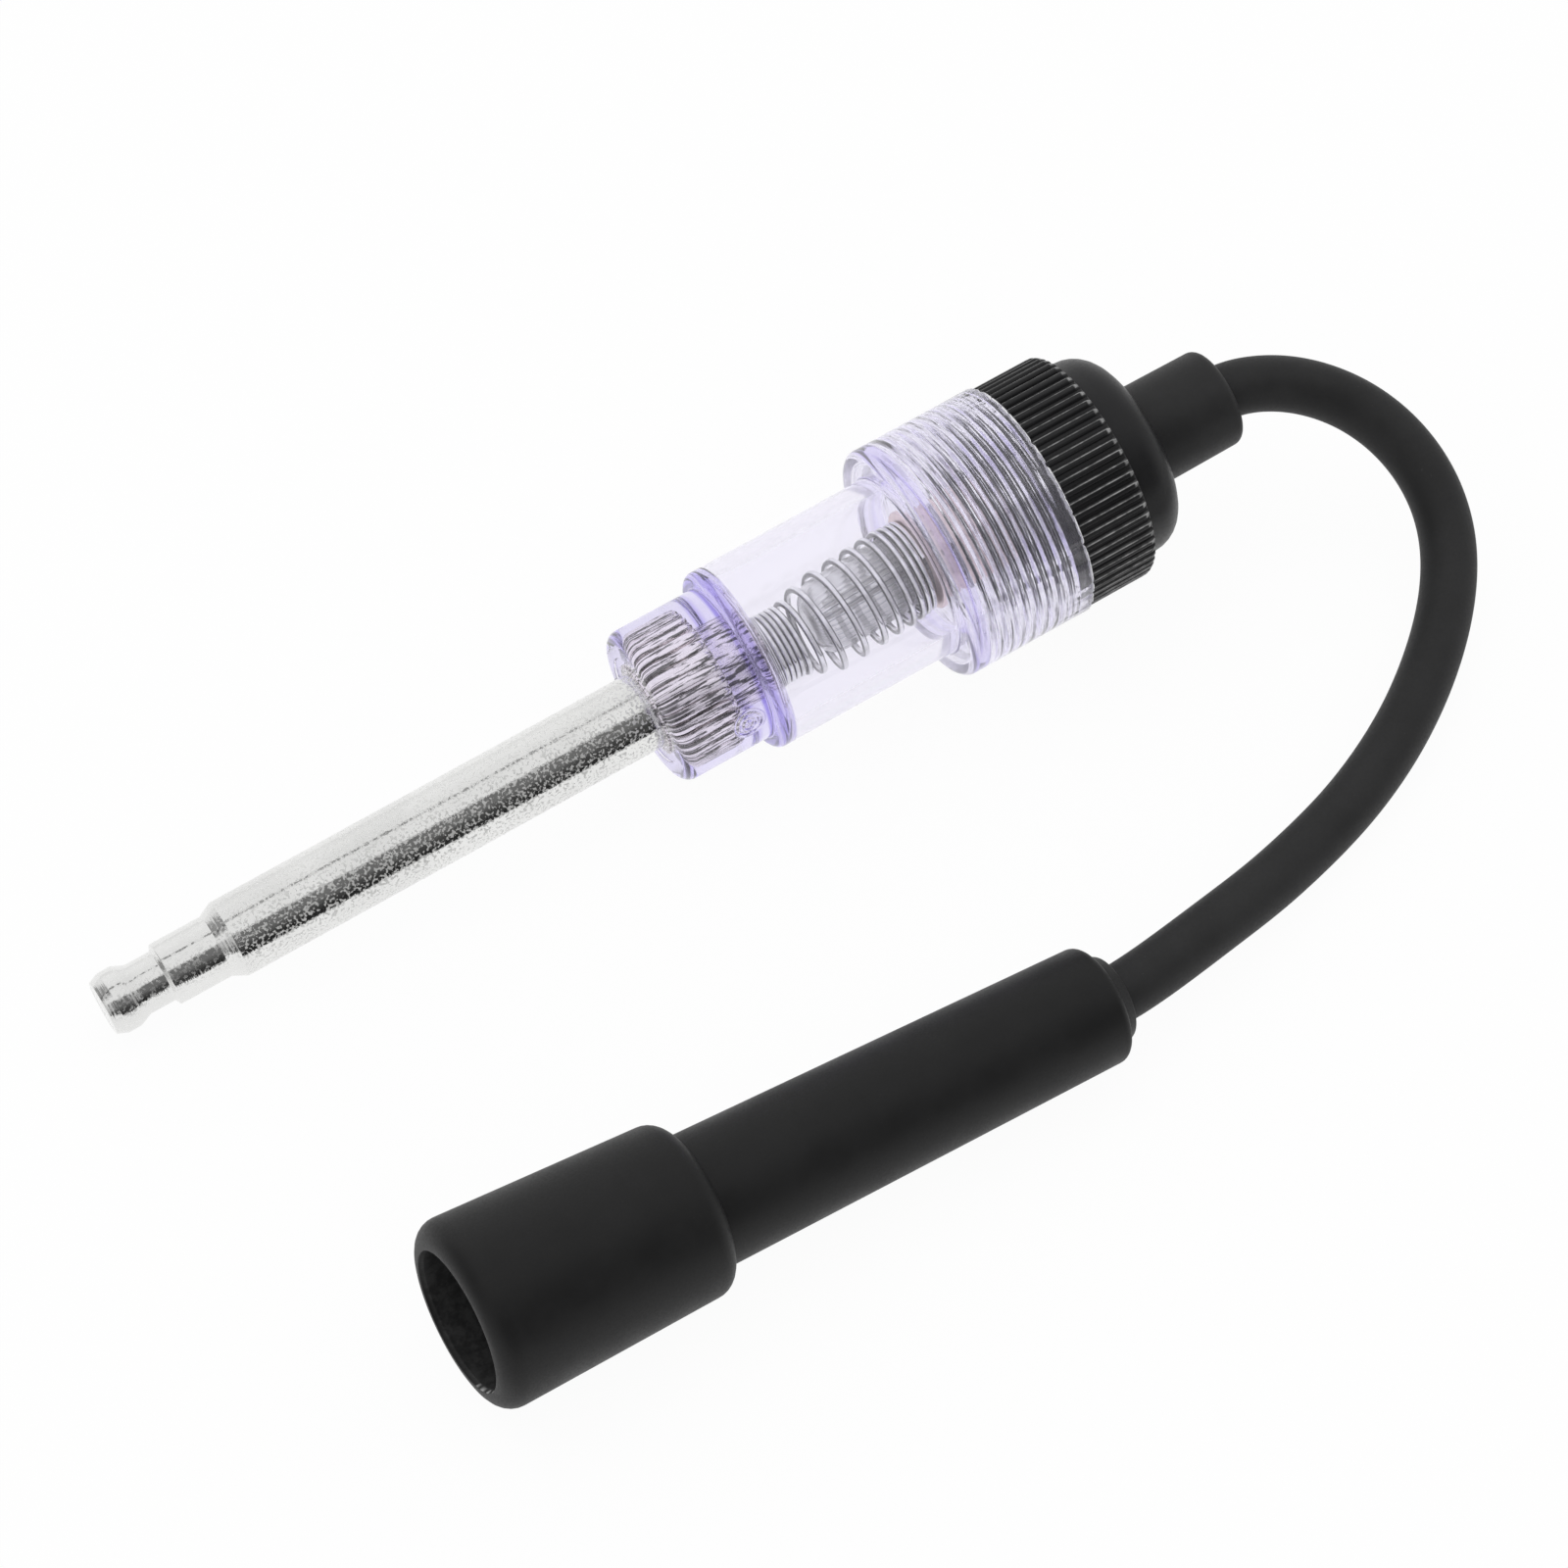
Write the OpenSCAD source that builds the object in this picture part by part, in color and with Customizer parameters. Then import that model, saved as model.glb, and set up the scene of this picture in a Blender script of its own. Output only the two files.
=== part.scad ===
// In-line spark plug tester: a terminal rod moulded into a clear screw-on housing, a sprung gas lamp,
// a ribbed cap, a short high-tension lead and a plug boot. Millimetres, +Z up.
// The part lies on a table at z = 0: the tool along X with its tip at -X, the boot beside it at -Y.
// Along the tool, u counts from the front face of the tip; along the boot, from the front of its mouth.

/* [Terminal rod] */
// Diameter of the plain rod
rod_d = 7.8; // [7:0.1:8.6]
// Length of the rod that stands out of the housing
rod_out = 58.8; // [45:0.1:80]
// Diameter of the flat front face of the tip
face_d = 5.4; // [4.6:0.1:5.8]
// Diameter of the snap head
head_d = 6.3; // [6.1:0.05:6.34]
// Length of the chamfer in front of the snap head
head_chamfer = 1.1; // [0.6:0.1:1.6]
// Length of the straight part of the snap head
head_len = 1.3; // [0.8:0.1:2]
// Length of the slope from the head down into the groove
head_slope = 1.3; // [0.6:0.1:2]
// Diameter of the snap groove
groove_d = 5.2; // [4.6:0.1:5.6]
// Length of the floor of the snap groove
groove_len = 2.6; // [1.8:0.1:4]
// Diameter of the plug terminal behind the groove
terminal_d = 6.35; // [6.35:0.01:6.6]
// Length of the plug terminal behind the groove
terminal_len = 5.4; // [4:0.1:8]
// Length of the cone between terminal and rod
rod_cone = 1.4; // [0.8:0.1:3]
// Height of the knurled collar over the rod
collar_step = 0.9; // [0.7:0.05:1.6]
// Length of the knurled collar
collar_len = 6.2; // [4:0.1:7]
// Distance of the collar behind the front of the housing
collar_inset = 1.1; // [1:0.1:2]
// Number of straight knurls on the collar
knurls = 26; // [16:1:36]
// Height of the knurls
knurl_h = 0.4; // [0.2:0.05:0.6]
// Diameter of the shank between collar and chamber
shank_d = 6; // [5:0.1:7]
// Diameter of the stud that the spring sits on
stud_d = 4.4; // [3:0.1:4.6]
// Length of the stud in the chamber
stud_len = 3.2; // [2:0.1:5]

/* [Clear housing] */
// Wall of the neck round the collar
neck_wall = 3.25; // [2.2:0.05:4]
// Length of the neck
neck_len = 9.6; // [9:0.1:14]
// Rounding of the front edge of the neck
neck_round = 1.2; // [0.5:0.1:2]
// Step from the neck out to the lamp chamber
chamber_step = 1.45; // [1.2:0.05:2.5]
// Length of the lamp chamber outside
chamber_len = 20; // [18:0.1:26]
// Wall of the lamp chamber
chamber_wall = 1.7; // [1.2:0.1:2.4]
// Rounding of the front edge of the chamber
chamber_round = 0.8; // [0.4:0.1:1.2]
// Thickness of the chamber floor behind the neck
floor_t = 1.4; // [1:0.1:2]
// Rounding inside the chamber floor
floor_round = 1; // [0.4:0.1:2]
// Step from the chamber out to the wide threaded section
wide_step = 2.8; // [2.5:0.05:4]
// Length of the wide threaded section
wide_len = 13.8; // [12:0.1:18]
// Rounding of the front edge of the wide section
wide_round = 0.8; // [0.3:0.1:1.2]
// Thickness of the front wall of the wide section
front_t = 2.2; // [1.5:0.1:3]

/* [Thread] */
// Wall of the wide section outside the thread
wide_wall = 1.3; // [1:0.05:1.5]
// Pitch of the right-hand thread
thread_pitch = 1.25; // [1.2:0.05:1.6]
// Height of a thread ridge
thread_h = 0.7; // [0.6:0.05:0.8]
// Width of a thread ridge at its crest
thread_crest = 0.35; // [0.25:0.05:0.4]
// Width of a thread ridge at its root
thread_root = 0.8; // [0.7:0.05:0.85]
// Radial gap between the two threads
thread_gap = 0.4; // [0.35:0.05:0.5]
// Straight plain stretch at each end of a thread
thread_plain = 0.9; // [0.8:0.1:1.5]

/* [Spring] */
// Diameter of the spring wire
wire_d = 0.5; // [0.4:0.05:0.5]
// Number of turns
spring_turns = 13; // [10:1:13]
// Pitch of the closer turns at the two ends
end_pitch = 0.95; // [0.92:0.01:1]
// Play between the stud and the spring
stud_play = 1.05; // [0.8:0.05:1.2]
// Distance of the spring from the edge of the flange
spring_inset = 0.3; // [0.2:0.05:0.8]

/* [Lamp] */
// Diameter of the glass envelope
glass_d = 7.6; // [7:0.1:7.8]
// Wall of the glass envelope
glass_wall = 0.45; // [0.3:0.05:0.6]
// Length of the glass in front of the flange
glass_out = 12.6; // [11:0.1:13]
// Length of the glass inside the base
glass_in = 3.6; // [3:0.1:4.5]
// Step from the base out to the flange that the spring presses on
flange_step = 0.7; // [0.4:0.05:1.2]
// Thickness of the flange
flange_t = 0.8; // [0.5:0.1:1.2]
// Wall of the metal base round the glass
base_front = 0.8; // [0.6:0.05:1.2]
// Length of the metal base behind the flange
base_len = 7.4; // [7:0.1:10]
// Wall of the metal base behind the glass
base_wall = 0.6; // [0.4:0.05:0.8]
// Thickness of the web inside the base
web_t = 0.8; // [0.5:0.1:1.2]
// Diameter of the two electrodes
electrode_d = 0.7; // [0.5:0.05:0.9]
// Distance of each electrode from the axis
electrode_off = 1; // [0.8:0.05:1.2]
// Gap between the electrodes and the front of the glass
electrode_gap = 1.6; // [1:0.1:3]
// Length of the glass bead that seals the envelope
bead_len = 2; // [1:0.1:2.5]
// Thickness of the insulating disc
disc_t = 1; // [0.8:0.1:1.5]
// Diameter of the tip contact
tip_d = 3; // [2.8:0.1:4]
// Height of the tip contact
tip_h = 0.8; // [0.6:0.1:1]

/* [Cap] */
// How far the ribbed ring stands back from the wide section
ring_step = 0.25; // [0:0.05:0.6]
// Length of the ribbed ring
ring_len = 7.4; // [7:0.1:14]
// Number of ribs
ribs = 64; // [40:2:72]
// Height of the ribs
rib_h = 0.35; // [0.2:0.05:0.5]
// Step from the foot of the ribs in to the smooth shoulder
dome_step = 1.25; // [0.5:0.05:2.5]
// Length of the smooth shoulder
dome_len = 5; // [3.7:0.1:7]
// Rounding of the rear edge of the shoulder
dome_round = 3.4; // [1:0.1:3.6]
// Length of the threaded spigot inside the housing
spigot_len = 5.5; // [5:0.1:7]
// Wall of the lamp holder in front of the spigot
holder_wall = 1.3; // [0.8:0.05:1.8]
// Length of the lamp holder in front of the spigot
holder_len = 2.1; // [1:0.1:3]
// Depth that the lamp base goes into the holder
lamp_depth = 3; // [2:0.1:4]
// Diameter of the contact disc behind the lamp
contact_d = 6.8; // [5:0.1:8]
// Thickness of the contact disc
contact_t = 1.1; // [0.8:0.1:1.5]
// Diameter of the tail of the contact
tail_d = 1.6; // [1.2:0.1:2]
// Diameter of the crimp ferrule
ferrule_d = 4; // [3:0.1:4.4]
// Length of the crimp ferrule
ferrule_len = 4.8; // [4:0.1:5]
// Wall left between cap bore and sleeve seat
seat_wall = 3; // [2:0.1:3.5]

/* [Lead] */
// Diameter of the lead
lead_d = 5.6; // [5:0.1:5.8]
// Diameter of the conductor in the lead
core_d = 1.6; // [1:0.1:2]
// Wall of the sleeve where it leaves the cap
sleeve_wall = 2.4; // [1.8:0.05:3.2]
// Draft of the sleeve on each side
sleeve_draft = 0.1; // [0.05:0.05:0.5]
// Length of the sleeve outside the cap
sleeve_len = 10; // [5:0.1:16]
// Rounding of the end of the sleeve
sleeve_round = 1.05; // [0.5:0.05:1.6]

/* [Boot] */
// Length of the mouth section to the start of the shoulder
mouth_len = 22.5; // [20:0.1:30]
// Wall of the mouth behind its rim
mouth_wall = 2.5; // [2:0.05:2.8]
// Draft of the mouth section on each side
mouth_draft = 0.8; // [0.3:0.05:1]
// Distance of the mouth's floor in front of the shoulder
mouth_floor = 0.9; // [0:0.1:4]
// Inner rounding of the rim
rim_inner = 0.45; // [0.1:0.05:0.6]
// Width of the flat on the rim
rim_flat = 0.85; // [0.4:0.05:1]
// Rounding of the shoulder between mouth section and tail
shoulder_round = 2; // [1.6:0.05:2.6]
// Wall of the tail at the shoulder
tail_wall = 1.8; // [1.7:0.05:2.4]
// Draft of the tail on each side
tail_draft = 0.65; // [0.3:0.05:0.7]
// Length of the tail
tail_len = 43.9; // [38:0.1:60]
// Rounding of the end of the tail
tail_round = 1.4; // [0.5:0.05:1.45]
// Wall of the lip round the lead
lip_wall = 1.5; // [0.8:0.05:1.55]
// Length of the lip round the lead
lip_len = 1.4; // [0.8:0.1:4]
// Chamfer of the lip
lip_chamfer = 0.5; // [0.2:0.1:0.7]
// Gap between the terminal cup and its chamber in the boot
nest_gap = 0.05; // [0.02:0.01:0.1]
// Free length of the terminal chamber behind the crimp barrel
nest_free = 1.5; // [0.5:0.1:4]
// Distance between the axes of tool and boot
boot_side = 49.8; // [40:0.1:80]
// Place of the mouth along the tool, from the tip
boot_along = 10.7; // [-20:0.1:30]
// Angle of the boot to the tool, in degrees
boot_yaw = 0.9; // [-5:0.1:5]

/* [Boot terminal] */
// Play of a plug terminal in the cup
cup_play = 0.175; // [0.1:0.025:0.25]
// Wall of the terminal cup
cup_side = 1.25; // [1.1:0.05:1.5]
// Length of the terminal cup
cup_len = 12.5; // [11:0.1:13]
// Distance of the terminal cup behind the mouth's floor
cup_inset = 1; // [0.5:0.1:2]
// Thickness of the wall behind the cup
cup_wall = 1; // [0.6:0.1:1.5]
// Distance of the snap ring behind the front of the cup
snap_at = 6.6; // [6:0.1:8]
// Diameter of the snap ring's wire
snap_wire = 0.8; // [0.6:0.05:0.9]
// Depth of the groove that the snap ring lies in
snap_groove = 0.75; // [0.7:0.05:0.8]
// Open angle of the snap ring, in degrees
snap_gap = 60; // [30:5:90]
// Wall of the crimp barrel
barrel_wall = 0.5; // [0.3:0.05:0.6]
// Length of the crimp barrel
barrel_len = 6; // [4:0.1:7]

/* [Hidden] */
$fn = 96;

// Clearance of a piece that is moulded in, pressed in or seated
fit_gap = 0.02;
// Gap between faces that close on each other
seat_gap = 0.05;
// Gap between the lamp and its holder
lamp_gap = 0.1;
// Gap between an electrode and a hole that it passes
hole_gap = 0.25;
// Steps of a rounding, thread segments in a turn, rings in a spring turn
arc_steps = 6;
thread_steps = 24;
curl_rings = 8;
curl_sides = 6;
lead_sides = 10;
// How deep a ridge is rooted in its wall
ridge_root = 0.3;
// Part of a knurl or rib pitch that the tip and the foot of a rib take
rib_tip_share = 0.4;
rib_foot_share = 0.7;
// Slope of the small step behind the snap groove
groove_step = 0.3;
// Rounding of the front of the glass, as a part of its radius
glass_round_share = 0.5;
// Part of the tip contact's height that is straight, and of its width that is flat
tip_share = 0.5;
// How far a cut runs past the face that it opens
cut_over = 1;

// Diameters of the housing and the cap, from the rod outwards
collar_d = rod_d + 2 * collar_step;
neck_d = collar_d + 2 * neck_wall;
chamber_d = neck_d + 2 * chamber_step;
wide_d = chamber_d + 2 * wide_step;
thread_d = wide_d - 2 * wide_wall;
ring_d = wide_d - 2 * ring_step;
dome_d = ring_d - 2 * (rib_h + dome_step);

// Diameters of the lamp, its holder and the spring, from the glass and the stud outwards
base_d = glass_d + 2 * base_front;
flange_d = base_d + 2 * flange_step;
holder_d = base_d + 2 * (lamp_gap + holder_wall);
spring_small_d = stud_d + 2 * (stud_play + wire_d);
spring_big_d = flange_d - 2 * spring_inset;

// Diameters of the lead's sleeve and of the boot, from the lead and the plug terminal outwards
sleeve_d = lead_d + 2 * sleeve_wall;
sleeve_end_d = sleeve_d - 2 * sleeve_draft;
cup_bore = terminal_d + 2 * cup_play;
cup_d = cup_bore + 2 * cup_side;
nest_bore = cup_d + 2 * nest_gap;
tail_d0 = nest_bore + 2 * tail_wall;
tail_d1 = tail_d0 - 2 * tail_draft;
shoulder_d = tail_d0 + 2 * shoulder_round;
mouth_d = shoulder_d + 2 * mouth_draft;
mouth_bore = mouth_d - 2 * mouth_wall;
lip_d = lead_d + 2 * lip_wall;
rim_round = mouth_wall - rim_inner - rim_flat;

// Places along the tool
u_head = head_chamfer + head_len;
u_groove = u_head + head_slope;
u_terminal = u_groove + groove_len + groove_step;
u_rod = u_terminal + terminal_len + rod_cone;
u_neck = rod_out;
u_collar = u_neck + collar_inset;
u_shank = u_collar + collar_len;
u_chamber = u_neck + neck_len;
u_floor = u_chamber + floor_t;
u_wide = u_chamber + chamber_len;
u_bore = u_wide + front_t;
u_seat = u_wide + wide_len;
u_ring = u_seat + seat_gap;
u_dome = u_ring + ring_len;
u_rear = u_dome + dome_len;
u_end = u_rear + sleeve_len;
u_spigot = u_seat - spigot_len;
u_holder = u_spigot - holder_len;
u_base_end = u_holder + lamp_depth;
u_flange = u_base_end - base_len - flange_t;
u_disc_end = u_base_end + disc_t;
u_tip_end = u_disc_end + tip_h;
u_contact = u_tip_end + seat_gap;
u_tail = u_contact + contact_t;
u_ferrule = u_tail + seat_gap;
u_crimp = u_ferrule + ferrule_len / 2;
u_lead = u_ferrule + ferrule_len + seat_gap;
u_sleeve = u_lead + seat_wall;
u_glass = u_flange - glass_out;
u_glass_end = u_flange + glass_in;
u_web = u_glass_end + fit_gap;

// The spigot's ridge runs midway between the turns of the housing's ridge
thread_start = u_bore + thread_plain;
spigot_ridges = ceil((u_spigot + thread_plain - thread_start) / thread_pitch - 0.5);
spigot_thread = thread_start + (spigot_ridges + 0.5) * thread_pitch;

// Places along the boot
b_shoulder = mouth_len + shoulder_round;
b_tail_end = b_shoulder + tail_len;
b_end = b_tail_end + lip_len;
b_floor = mouth_len - mouth_floor;
b_cup = b_floor + cup_inset;
b_wall = b_cup + cup_len;
b_barrel = b_wall + cup_wall;
b_barrel_end = b_barrel + barrel_len;
b_nest_end = b_barrel_end + nest_free;
b_lead = b_barrel + seat_gap;

// Tool and boot as they lie on the table: tilt so that two rounded edges touch it
function rest_tilt(a, b) = atan2(b[1] - a[1], b[0] - a[0])
    + asin((b[2] - a[2]) / norm([b[0] - a[0], b[1] - a[1]]));
function rest_height(a, t) = a[1] * cos(t) + a[2] - a[0] * sin(t);
// Each edge is [place along the axis, radius of the rounding's centre, rounding]
head_edge = [head_chamfer, head_d / 2, 0];
wide_edge = [u_wide + wide_round, wide_d / 2 - wide_round, wide_round];
shoulder_edge = [mouth_len, tail_d0 / 2, shoulder_round];
tail_edge = [b_tail_end - tail_round, tail_d1 / 2 - tail_round, tail_round];
tool_tilt = rest_tilt(head_edge, wide_edge);
boot_tilt = rest_tilt(shoulder_edge, tail_edge);
// The tool is centred along X, its lowest rim corners counted
sleeve_reach = u_end * cos(tool_tilt) + (sleeve_end_d / 2 - sleeve_round) * sin(tool_tilt);
tip_reach = face_d / 2 * sin(tool_tilt);
tool_place = [(tip_reach - sleeve_reach) / 2, 0, rest_height(head_edge, tool_tilt)];
boot_place = [tool_place[0] + boot_along, -boot_side, rest_height(shoulder_edge, boot_tilt)];
tool_axis = [cos(tool_tilt), 0, sin(tool_tilt)];
boot_axis = [cos(boot_yaw) * cos(boot_tilt), sin(boot_yaw) * cos(boot_tilt), sin(boot_tilt)];
sleeve_exit = tool_place + u_end * tool_axis;
boot_exit = boot_place + b_end * boot_axis;

// Route of the lead between the sleeve and the boot: how far each point of it lies from the straight
// line between the two ends, along X and Y, and its height over the table; a short stretch at each end
// goes straight on from the sleeve or the boot
lead_straight = 0.8;
lead_bends = [[5.78, 2.31, 15.91], [12.58, 3.4, 15.04], [19.42, 2.8, 13.17], [24.66, 0.94, 10.94],
              [27.92, -1.62, 8.63], [29.14, -4.16, 6.42], [28.5, -6.13, 4.77], [27.17, -7.27, 3.7],
              [25.28, -8.09, 3.1], [22.71, -8.78, 2.88], [19.66, -9.04, 2.86], [16.67, -8.65, 2.86],
              [13.53, -7.74, 2.93], [10.37, -6.68, 3.33], [7.18, -5.38, 4.19], [3.94, -3.97, 4.81],
              [1.72, -2.22, 5.27]];
function lead_point(i) =
    let (share = (i + 1) / (len(lead_bends) + 1), p = (1 - share) * sleeve_exit + share * boot_exit)
    [p[0] + lead_bends[i][0], p[1] + lead_bends[i][1], lead_bends[i][2]];
lead_points = [for (i = [0:len(lead_bends) - 1]) lead_point(i)];
lead_route = concat([sleeve_exit, sleeve_exit + lead_straight * tool_axis], lead_points,
                    [boot_exit + lead_straight * boot_axis, boot_exit]);

// Spring: wire centre line, closer turns at both ends, narrow round the stud and wide round the lamp
spring_start = u_floor + seat_gap;
spring_stop = u_flange - seat_gap;
// The wire's two ends stand straight against the floor and the flange
wire_end = 2 * wire_d;
coil_start = spring_start + wire_end;
coil_len = spring_stop - spring_start - 2 * wire_end;
// Turns at each end that keep the closer pitch, and turns over which the spring then widens
close_turns = 3;
widen_turns = 4.5;
spring_small_r = (spring_small_d - wire_d) / 2;
spring_big_r = (spring_big_d - wire_d) / 2;
function ease(x) = x < 0 ? 0 : x > 1 ? 1 : x * x * (3 - 2 * x);
function slope(x) = x < 0 ? 0 : x > 1 ? 1 : x;
function open_share(n) = ease((n - close_turns) / (spring_turns - 2 * close_turns));
function coil_u(n) = coil_start + end_pitch * n + (coil_len - end_pitch * spring_turns) * open_share(n);
function coil_r(n) = spring_small_r
    + (spring_big_r - spring_small_r) * slope((n - close_turns) / widen_turns);
function coil_point(n) = [coil_r(n) * cos(360 * n), coil_r(n) * sin(360 * n), coil_u(n)];
coil_points = [for (i = [0:spring_turns * curl_rings]) coil_point(i / curl_rings)];
last_coil = coil_points[len(coil_points) - 1];
spring_route = concat([[coil_points[0][0], coil_points[0][1], spring_start],
                       [coil_points[0][0], coil_points[0][1], spring_start + wire_d]],
                      coil_points,
                      [[last_coil[0], last_coil[1], spring_stop - wire_d],
                       [last_coil[0], last_coil[1], spring_stop]]);
spring_gap = min([for (i = [0:len(coil_points) - 1])
                  for (j = [i + curl_rings / 2:1:len(coil_points) - 1])
                  norm(coil_points[i] - coil_points[j])]) - wire_d;
echo("least gap between the turns of the spring", spring_gap);

// Sweeps: each ring's points run about the way that the sweep goes
function unit(v) = v / norm(v);
function heading(p, i) = unit(p[min(i + 1, len(p) - 1)] - p[max(i - 1, 0)]);
function ring(c, side, other, r, n) =
    [for (k = [0:n - 1]) c + r * (cos(360 * k / n) * side + sin(360 * k / n) * other)];
function sweep_faces(rings, n) = concat(
    [for (i = [0:rings - 2]) for (j = [0:n - 1])
        [i * n + j, (i + 1) * n + (j + 1) % n, i * n + (j + 1) % n]],
    [for (i = [0:rings - 2]) for (j = [0:n - 1])
        [i * n + j, (i + 1) * n + j, (i + 1) * n + (j + 1) % n]],
    [for (j = [1:n - 2]) [0, j, j + 1]],
    [for (j = [1:n - 2]) [(rings - 1) * n, (rings - 1) * n + j + 1, (rings - 1) * n + j]]);
function tube_points(p, d, n) = [for (i = [0:len(p) - 1])
    let (t = heading(p, i), side = unit(cross([0, 0, 1], t)))
    each ring(p[i], side, cross(t, side), d / 2, n)];
function coil_tube_points(p, d, n) = [for (i = [0:len(p) - 1])
    let (t = heading(p, i), out = unit([p[i][0], p[i][1], 0]), flat = unit(out - (out * t) * t))
    each ring(p[i], flat, cross(t, flat), d / 2, n)];
function ridge_points(u0, u1, foot_r, tip_r) =
    let (steps = ceil((u1 - u0) / thread_pitch * thread_steps))
    [for (i = [0:steps])
        let (a = 360 * i / thread_steps, u = u0 + thread_pitch * i / thread_steps)
        for (q = foot_r < tip_r
            ? [[-thread_root, foot_r], [thread_root, foot_r], [thread_crest, tip_r], [-thread_crest, tip_r]]
            : [[-thread_crest, tip_r], [thread_crest, tip_r], [thread_root, foot_r], [-thread_root, foot_r]])
        [q[1] * cos(a), q[1] * sin(a), u + q[0] / 2]];

// Outlines
function arc(c, r, a0, a1) = [for (i = [0:arc_steps])
    c + r * [cos(a0 + (a1 - a0) * i / arc_steps), sin(a0 + (a1 - a0) * i / arc_steps)]];
function ribbed(r_foot, r_tip, n) = [for (i = [0:n - 1])
    for (q = [[r_foot, -rib_foot_share], [r_tip, -rib_tip_share], [r_tip, rib_tip_share],
              [r_foot, rib_foot_share]])
    q[0] * [cos((i + q[1] / 2) * 360 / n), sin((i + q[1] / 2) * 360 / n)]];

module along_tool() {
    translate(tool_place)
        rotate([0, -tool_tilt, 0])
            rotate([0, 90, 0])
                children();
}

module along_boot() {
    translate(boot_place)
        rotate([0, 0, boot_yaw])
            rotate([0, -boot_tilt, 0])
                rotate([0, 90, 0])
                    children();
}

module turned(outline) {
    rotate_extrude()
        polygon(outline);
}

module rod_piece(d, u0, u1) {
    translate([0, 0, u0])
        cylinder(d = d, h = u1 - u0);
}

module tube_piece(d, bore, u0, u1) {
    difference() {
        rod_piece(d, u0, u1);
        rod_piece(bore, u0 - cut_over, u1 + cut_over);
    }
}

module thread_ridge(u0, u1, foot_r, tip_r) {
    points = ridge_points(u0, u1, foot_r, tip_r);
    polyhedron(points, sweep_faces(len(points) / 4, 4));
}

module terminal_rod() {
    knurl_foot = collar_d / 2 - knurl_h;
    color("gainsboro")
        along_tool() {
            turned([[0, 0], [face_d / 2, 0], [head_d / 2, head_chamfer], [head_d / 2, u_head],
                    [groove_d / 2, u_groove], [groove_d / 2, u_terminal - groove_step],
                    [terminal_d / 2, u_terminal], [terminal_d / 2, u_terminal + terminal_len],
                    [rod_d / 2, u_rod], [rod_d / 2, u_collar], [knurl_foot, u_collar],
                    [knurl_foot, u_shank], [shank_d / 2, u_shank], [shank_d / 2, u_floor],
                    [stud_d / 2, u_floor], [stud_d / 2, u_floor + stud_len], [0, u_floor + stud_len]]);
            translate([0, 0, u_collar])
                linear_extrude(collar_len)
                    polygon(ribbed(knurl_foot, collar_d / 2, knurls));
        }
}

module clear_housing() {
    bore_r = chamber_d / 2 - chamber_wall;
    root_r = thread_d / 2;
    outer = concat(
        [[rod_d / 2 + fit_gap, u_neck]],
        arc([neck_d / 2 - neck_round, u_neck + neck_round], neck_round, -90, 0),
        [[neck_d / 2, u_chamber]],
        arc([chamber_d / 2 - chamber_round, u_chamber + chamber_round], chamber_round, -90, 0),
        [[chamber_d / 2, u_wide]],
        arc([wide_d / 2 - wide_round, u_wide + wide_round], wide_round, -90, 0),
        [[wide_d / 2, u_seat]]);
    inner = concat(
        [[root_r, u_seat], [root_r, u_bore], [bore_r, u_bore]],
        arc([bore_r - floor_round, u_floor + floor_round], floor_round, 0, -90),
        [[shank_d / 2 + fit_gap, u_floor], [shank_d / 2 + fit_gap, u_shank + fit_gap],
         [collar_d / 2 + fit_gap, u_shank + fit_gap], [collar_d / 2 + fit_gap, u_collar - fit_gap],
         [rod_d / 2 + fit_gap, u_collar - fit_gap]]);
    color("lavender", 0.5)
        along_tool()
            union() {
                turned(concat(outer, inner));
                thread_ridge(thread_start, u_seat - thread_plain, root_r + ridge_root,
                             root_r - thread_h);
            }
}

module contact_spring() {
    color("silver")
        along_tool()
            polyhedron(coil_tube_points(spring_route, wire_d, curl_sides),
                       sweep_faces(len(spring_route), curl_sides));
}

module lamp_glass() {
    outer_r = glass_d / 2;
    inner_r = outer_r - glass_wall;
    outer_round = outer_r * glass_round_share;
    inner_round = inner_r * glass_round_share;
    color("aliceblue", 0.5)
        along_tool()
            turned(concat(
                [[0, u_glass]],
                arc([outer_r - outer_round, u_glass + outer_round], outer_round, -90, 0),
                [[outer_r, u_glass_end], [inner_r, u_glass_end]],
                arc([inner_r - inner_round, u_glass + glass_wall + inner_round], inner_round, 0, -90),
                [[0, u_glass + glass_wall]]));
}

module electrode(side, u1) {
    translate([side * electrode_off, 0, 0])
        rod_piece(electrode_d, u_glass + glass_wall + electrode_gap, u1);
}

module electrode_hole(side, gap, u0, u1) {
    translate([side * electrode_off, 0, 0])
        rod_piece(electrode_d + 2 * gap, u0, u1);
}

module lamp_bead() {
    u0 = u_glass_end - bead_len;
    color("lightcyan")
        along_tool()
            difference() {
                rod_piece(glass_d - 2 * glass_wall - 2 * fit_gap, u0, u_glass_end);
                electrode_hole(1, fit_gap, u0 - cut_over, u_glass_end + cut_over);
                electrode_hole(-1, fit_gap, u0 - cut_over, u_glass_end + cut_over);
            }
}

module lamp_electrode_base() {
    color("dimgray")
        along_tool()
            electrode(-1, u_glass_end);
}

module lamp_electrode_tip() {
    color("dimgray")
        along_tool()
            electrode(1, u_disc_end);
}

module lamp_base() {
    cavity_d = base_d - 2 * base_wall;
    color("rosybrown")
        along_tool()
            difference() {
                union() {
                    rod_piece(flange_d, u_flange, u_flange + flange_t);
                    rod_piece(base_d, u_flange, u_base_end);
                }
                rod_piece(glass_d + 2 * fit_gap, u_flange - cut_over, u_web);
                rod_piece(cavity_d, u_web + web_t, u_base_end + cut_over);
                electrode_hole(1, hole_gap, u_flange, u_base_end);
            }
}

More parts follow.
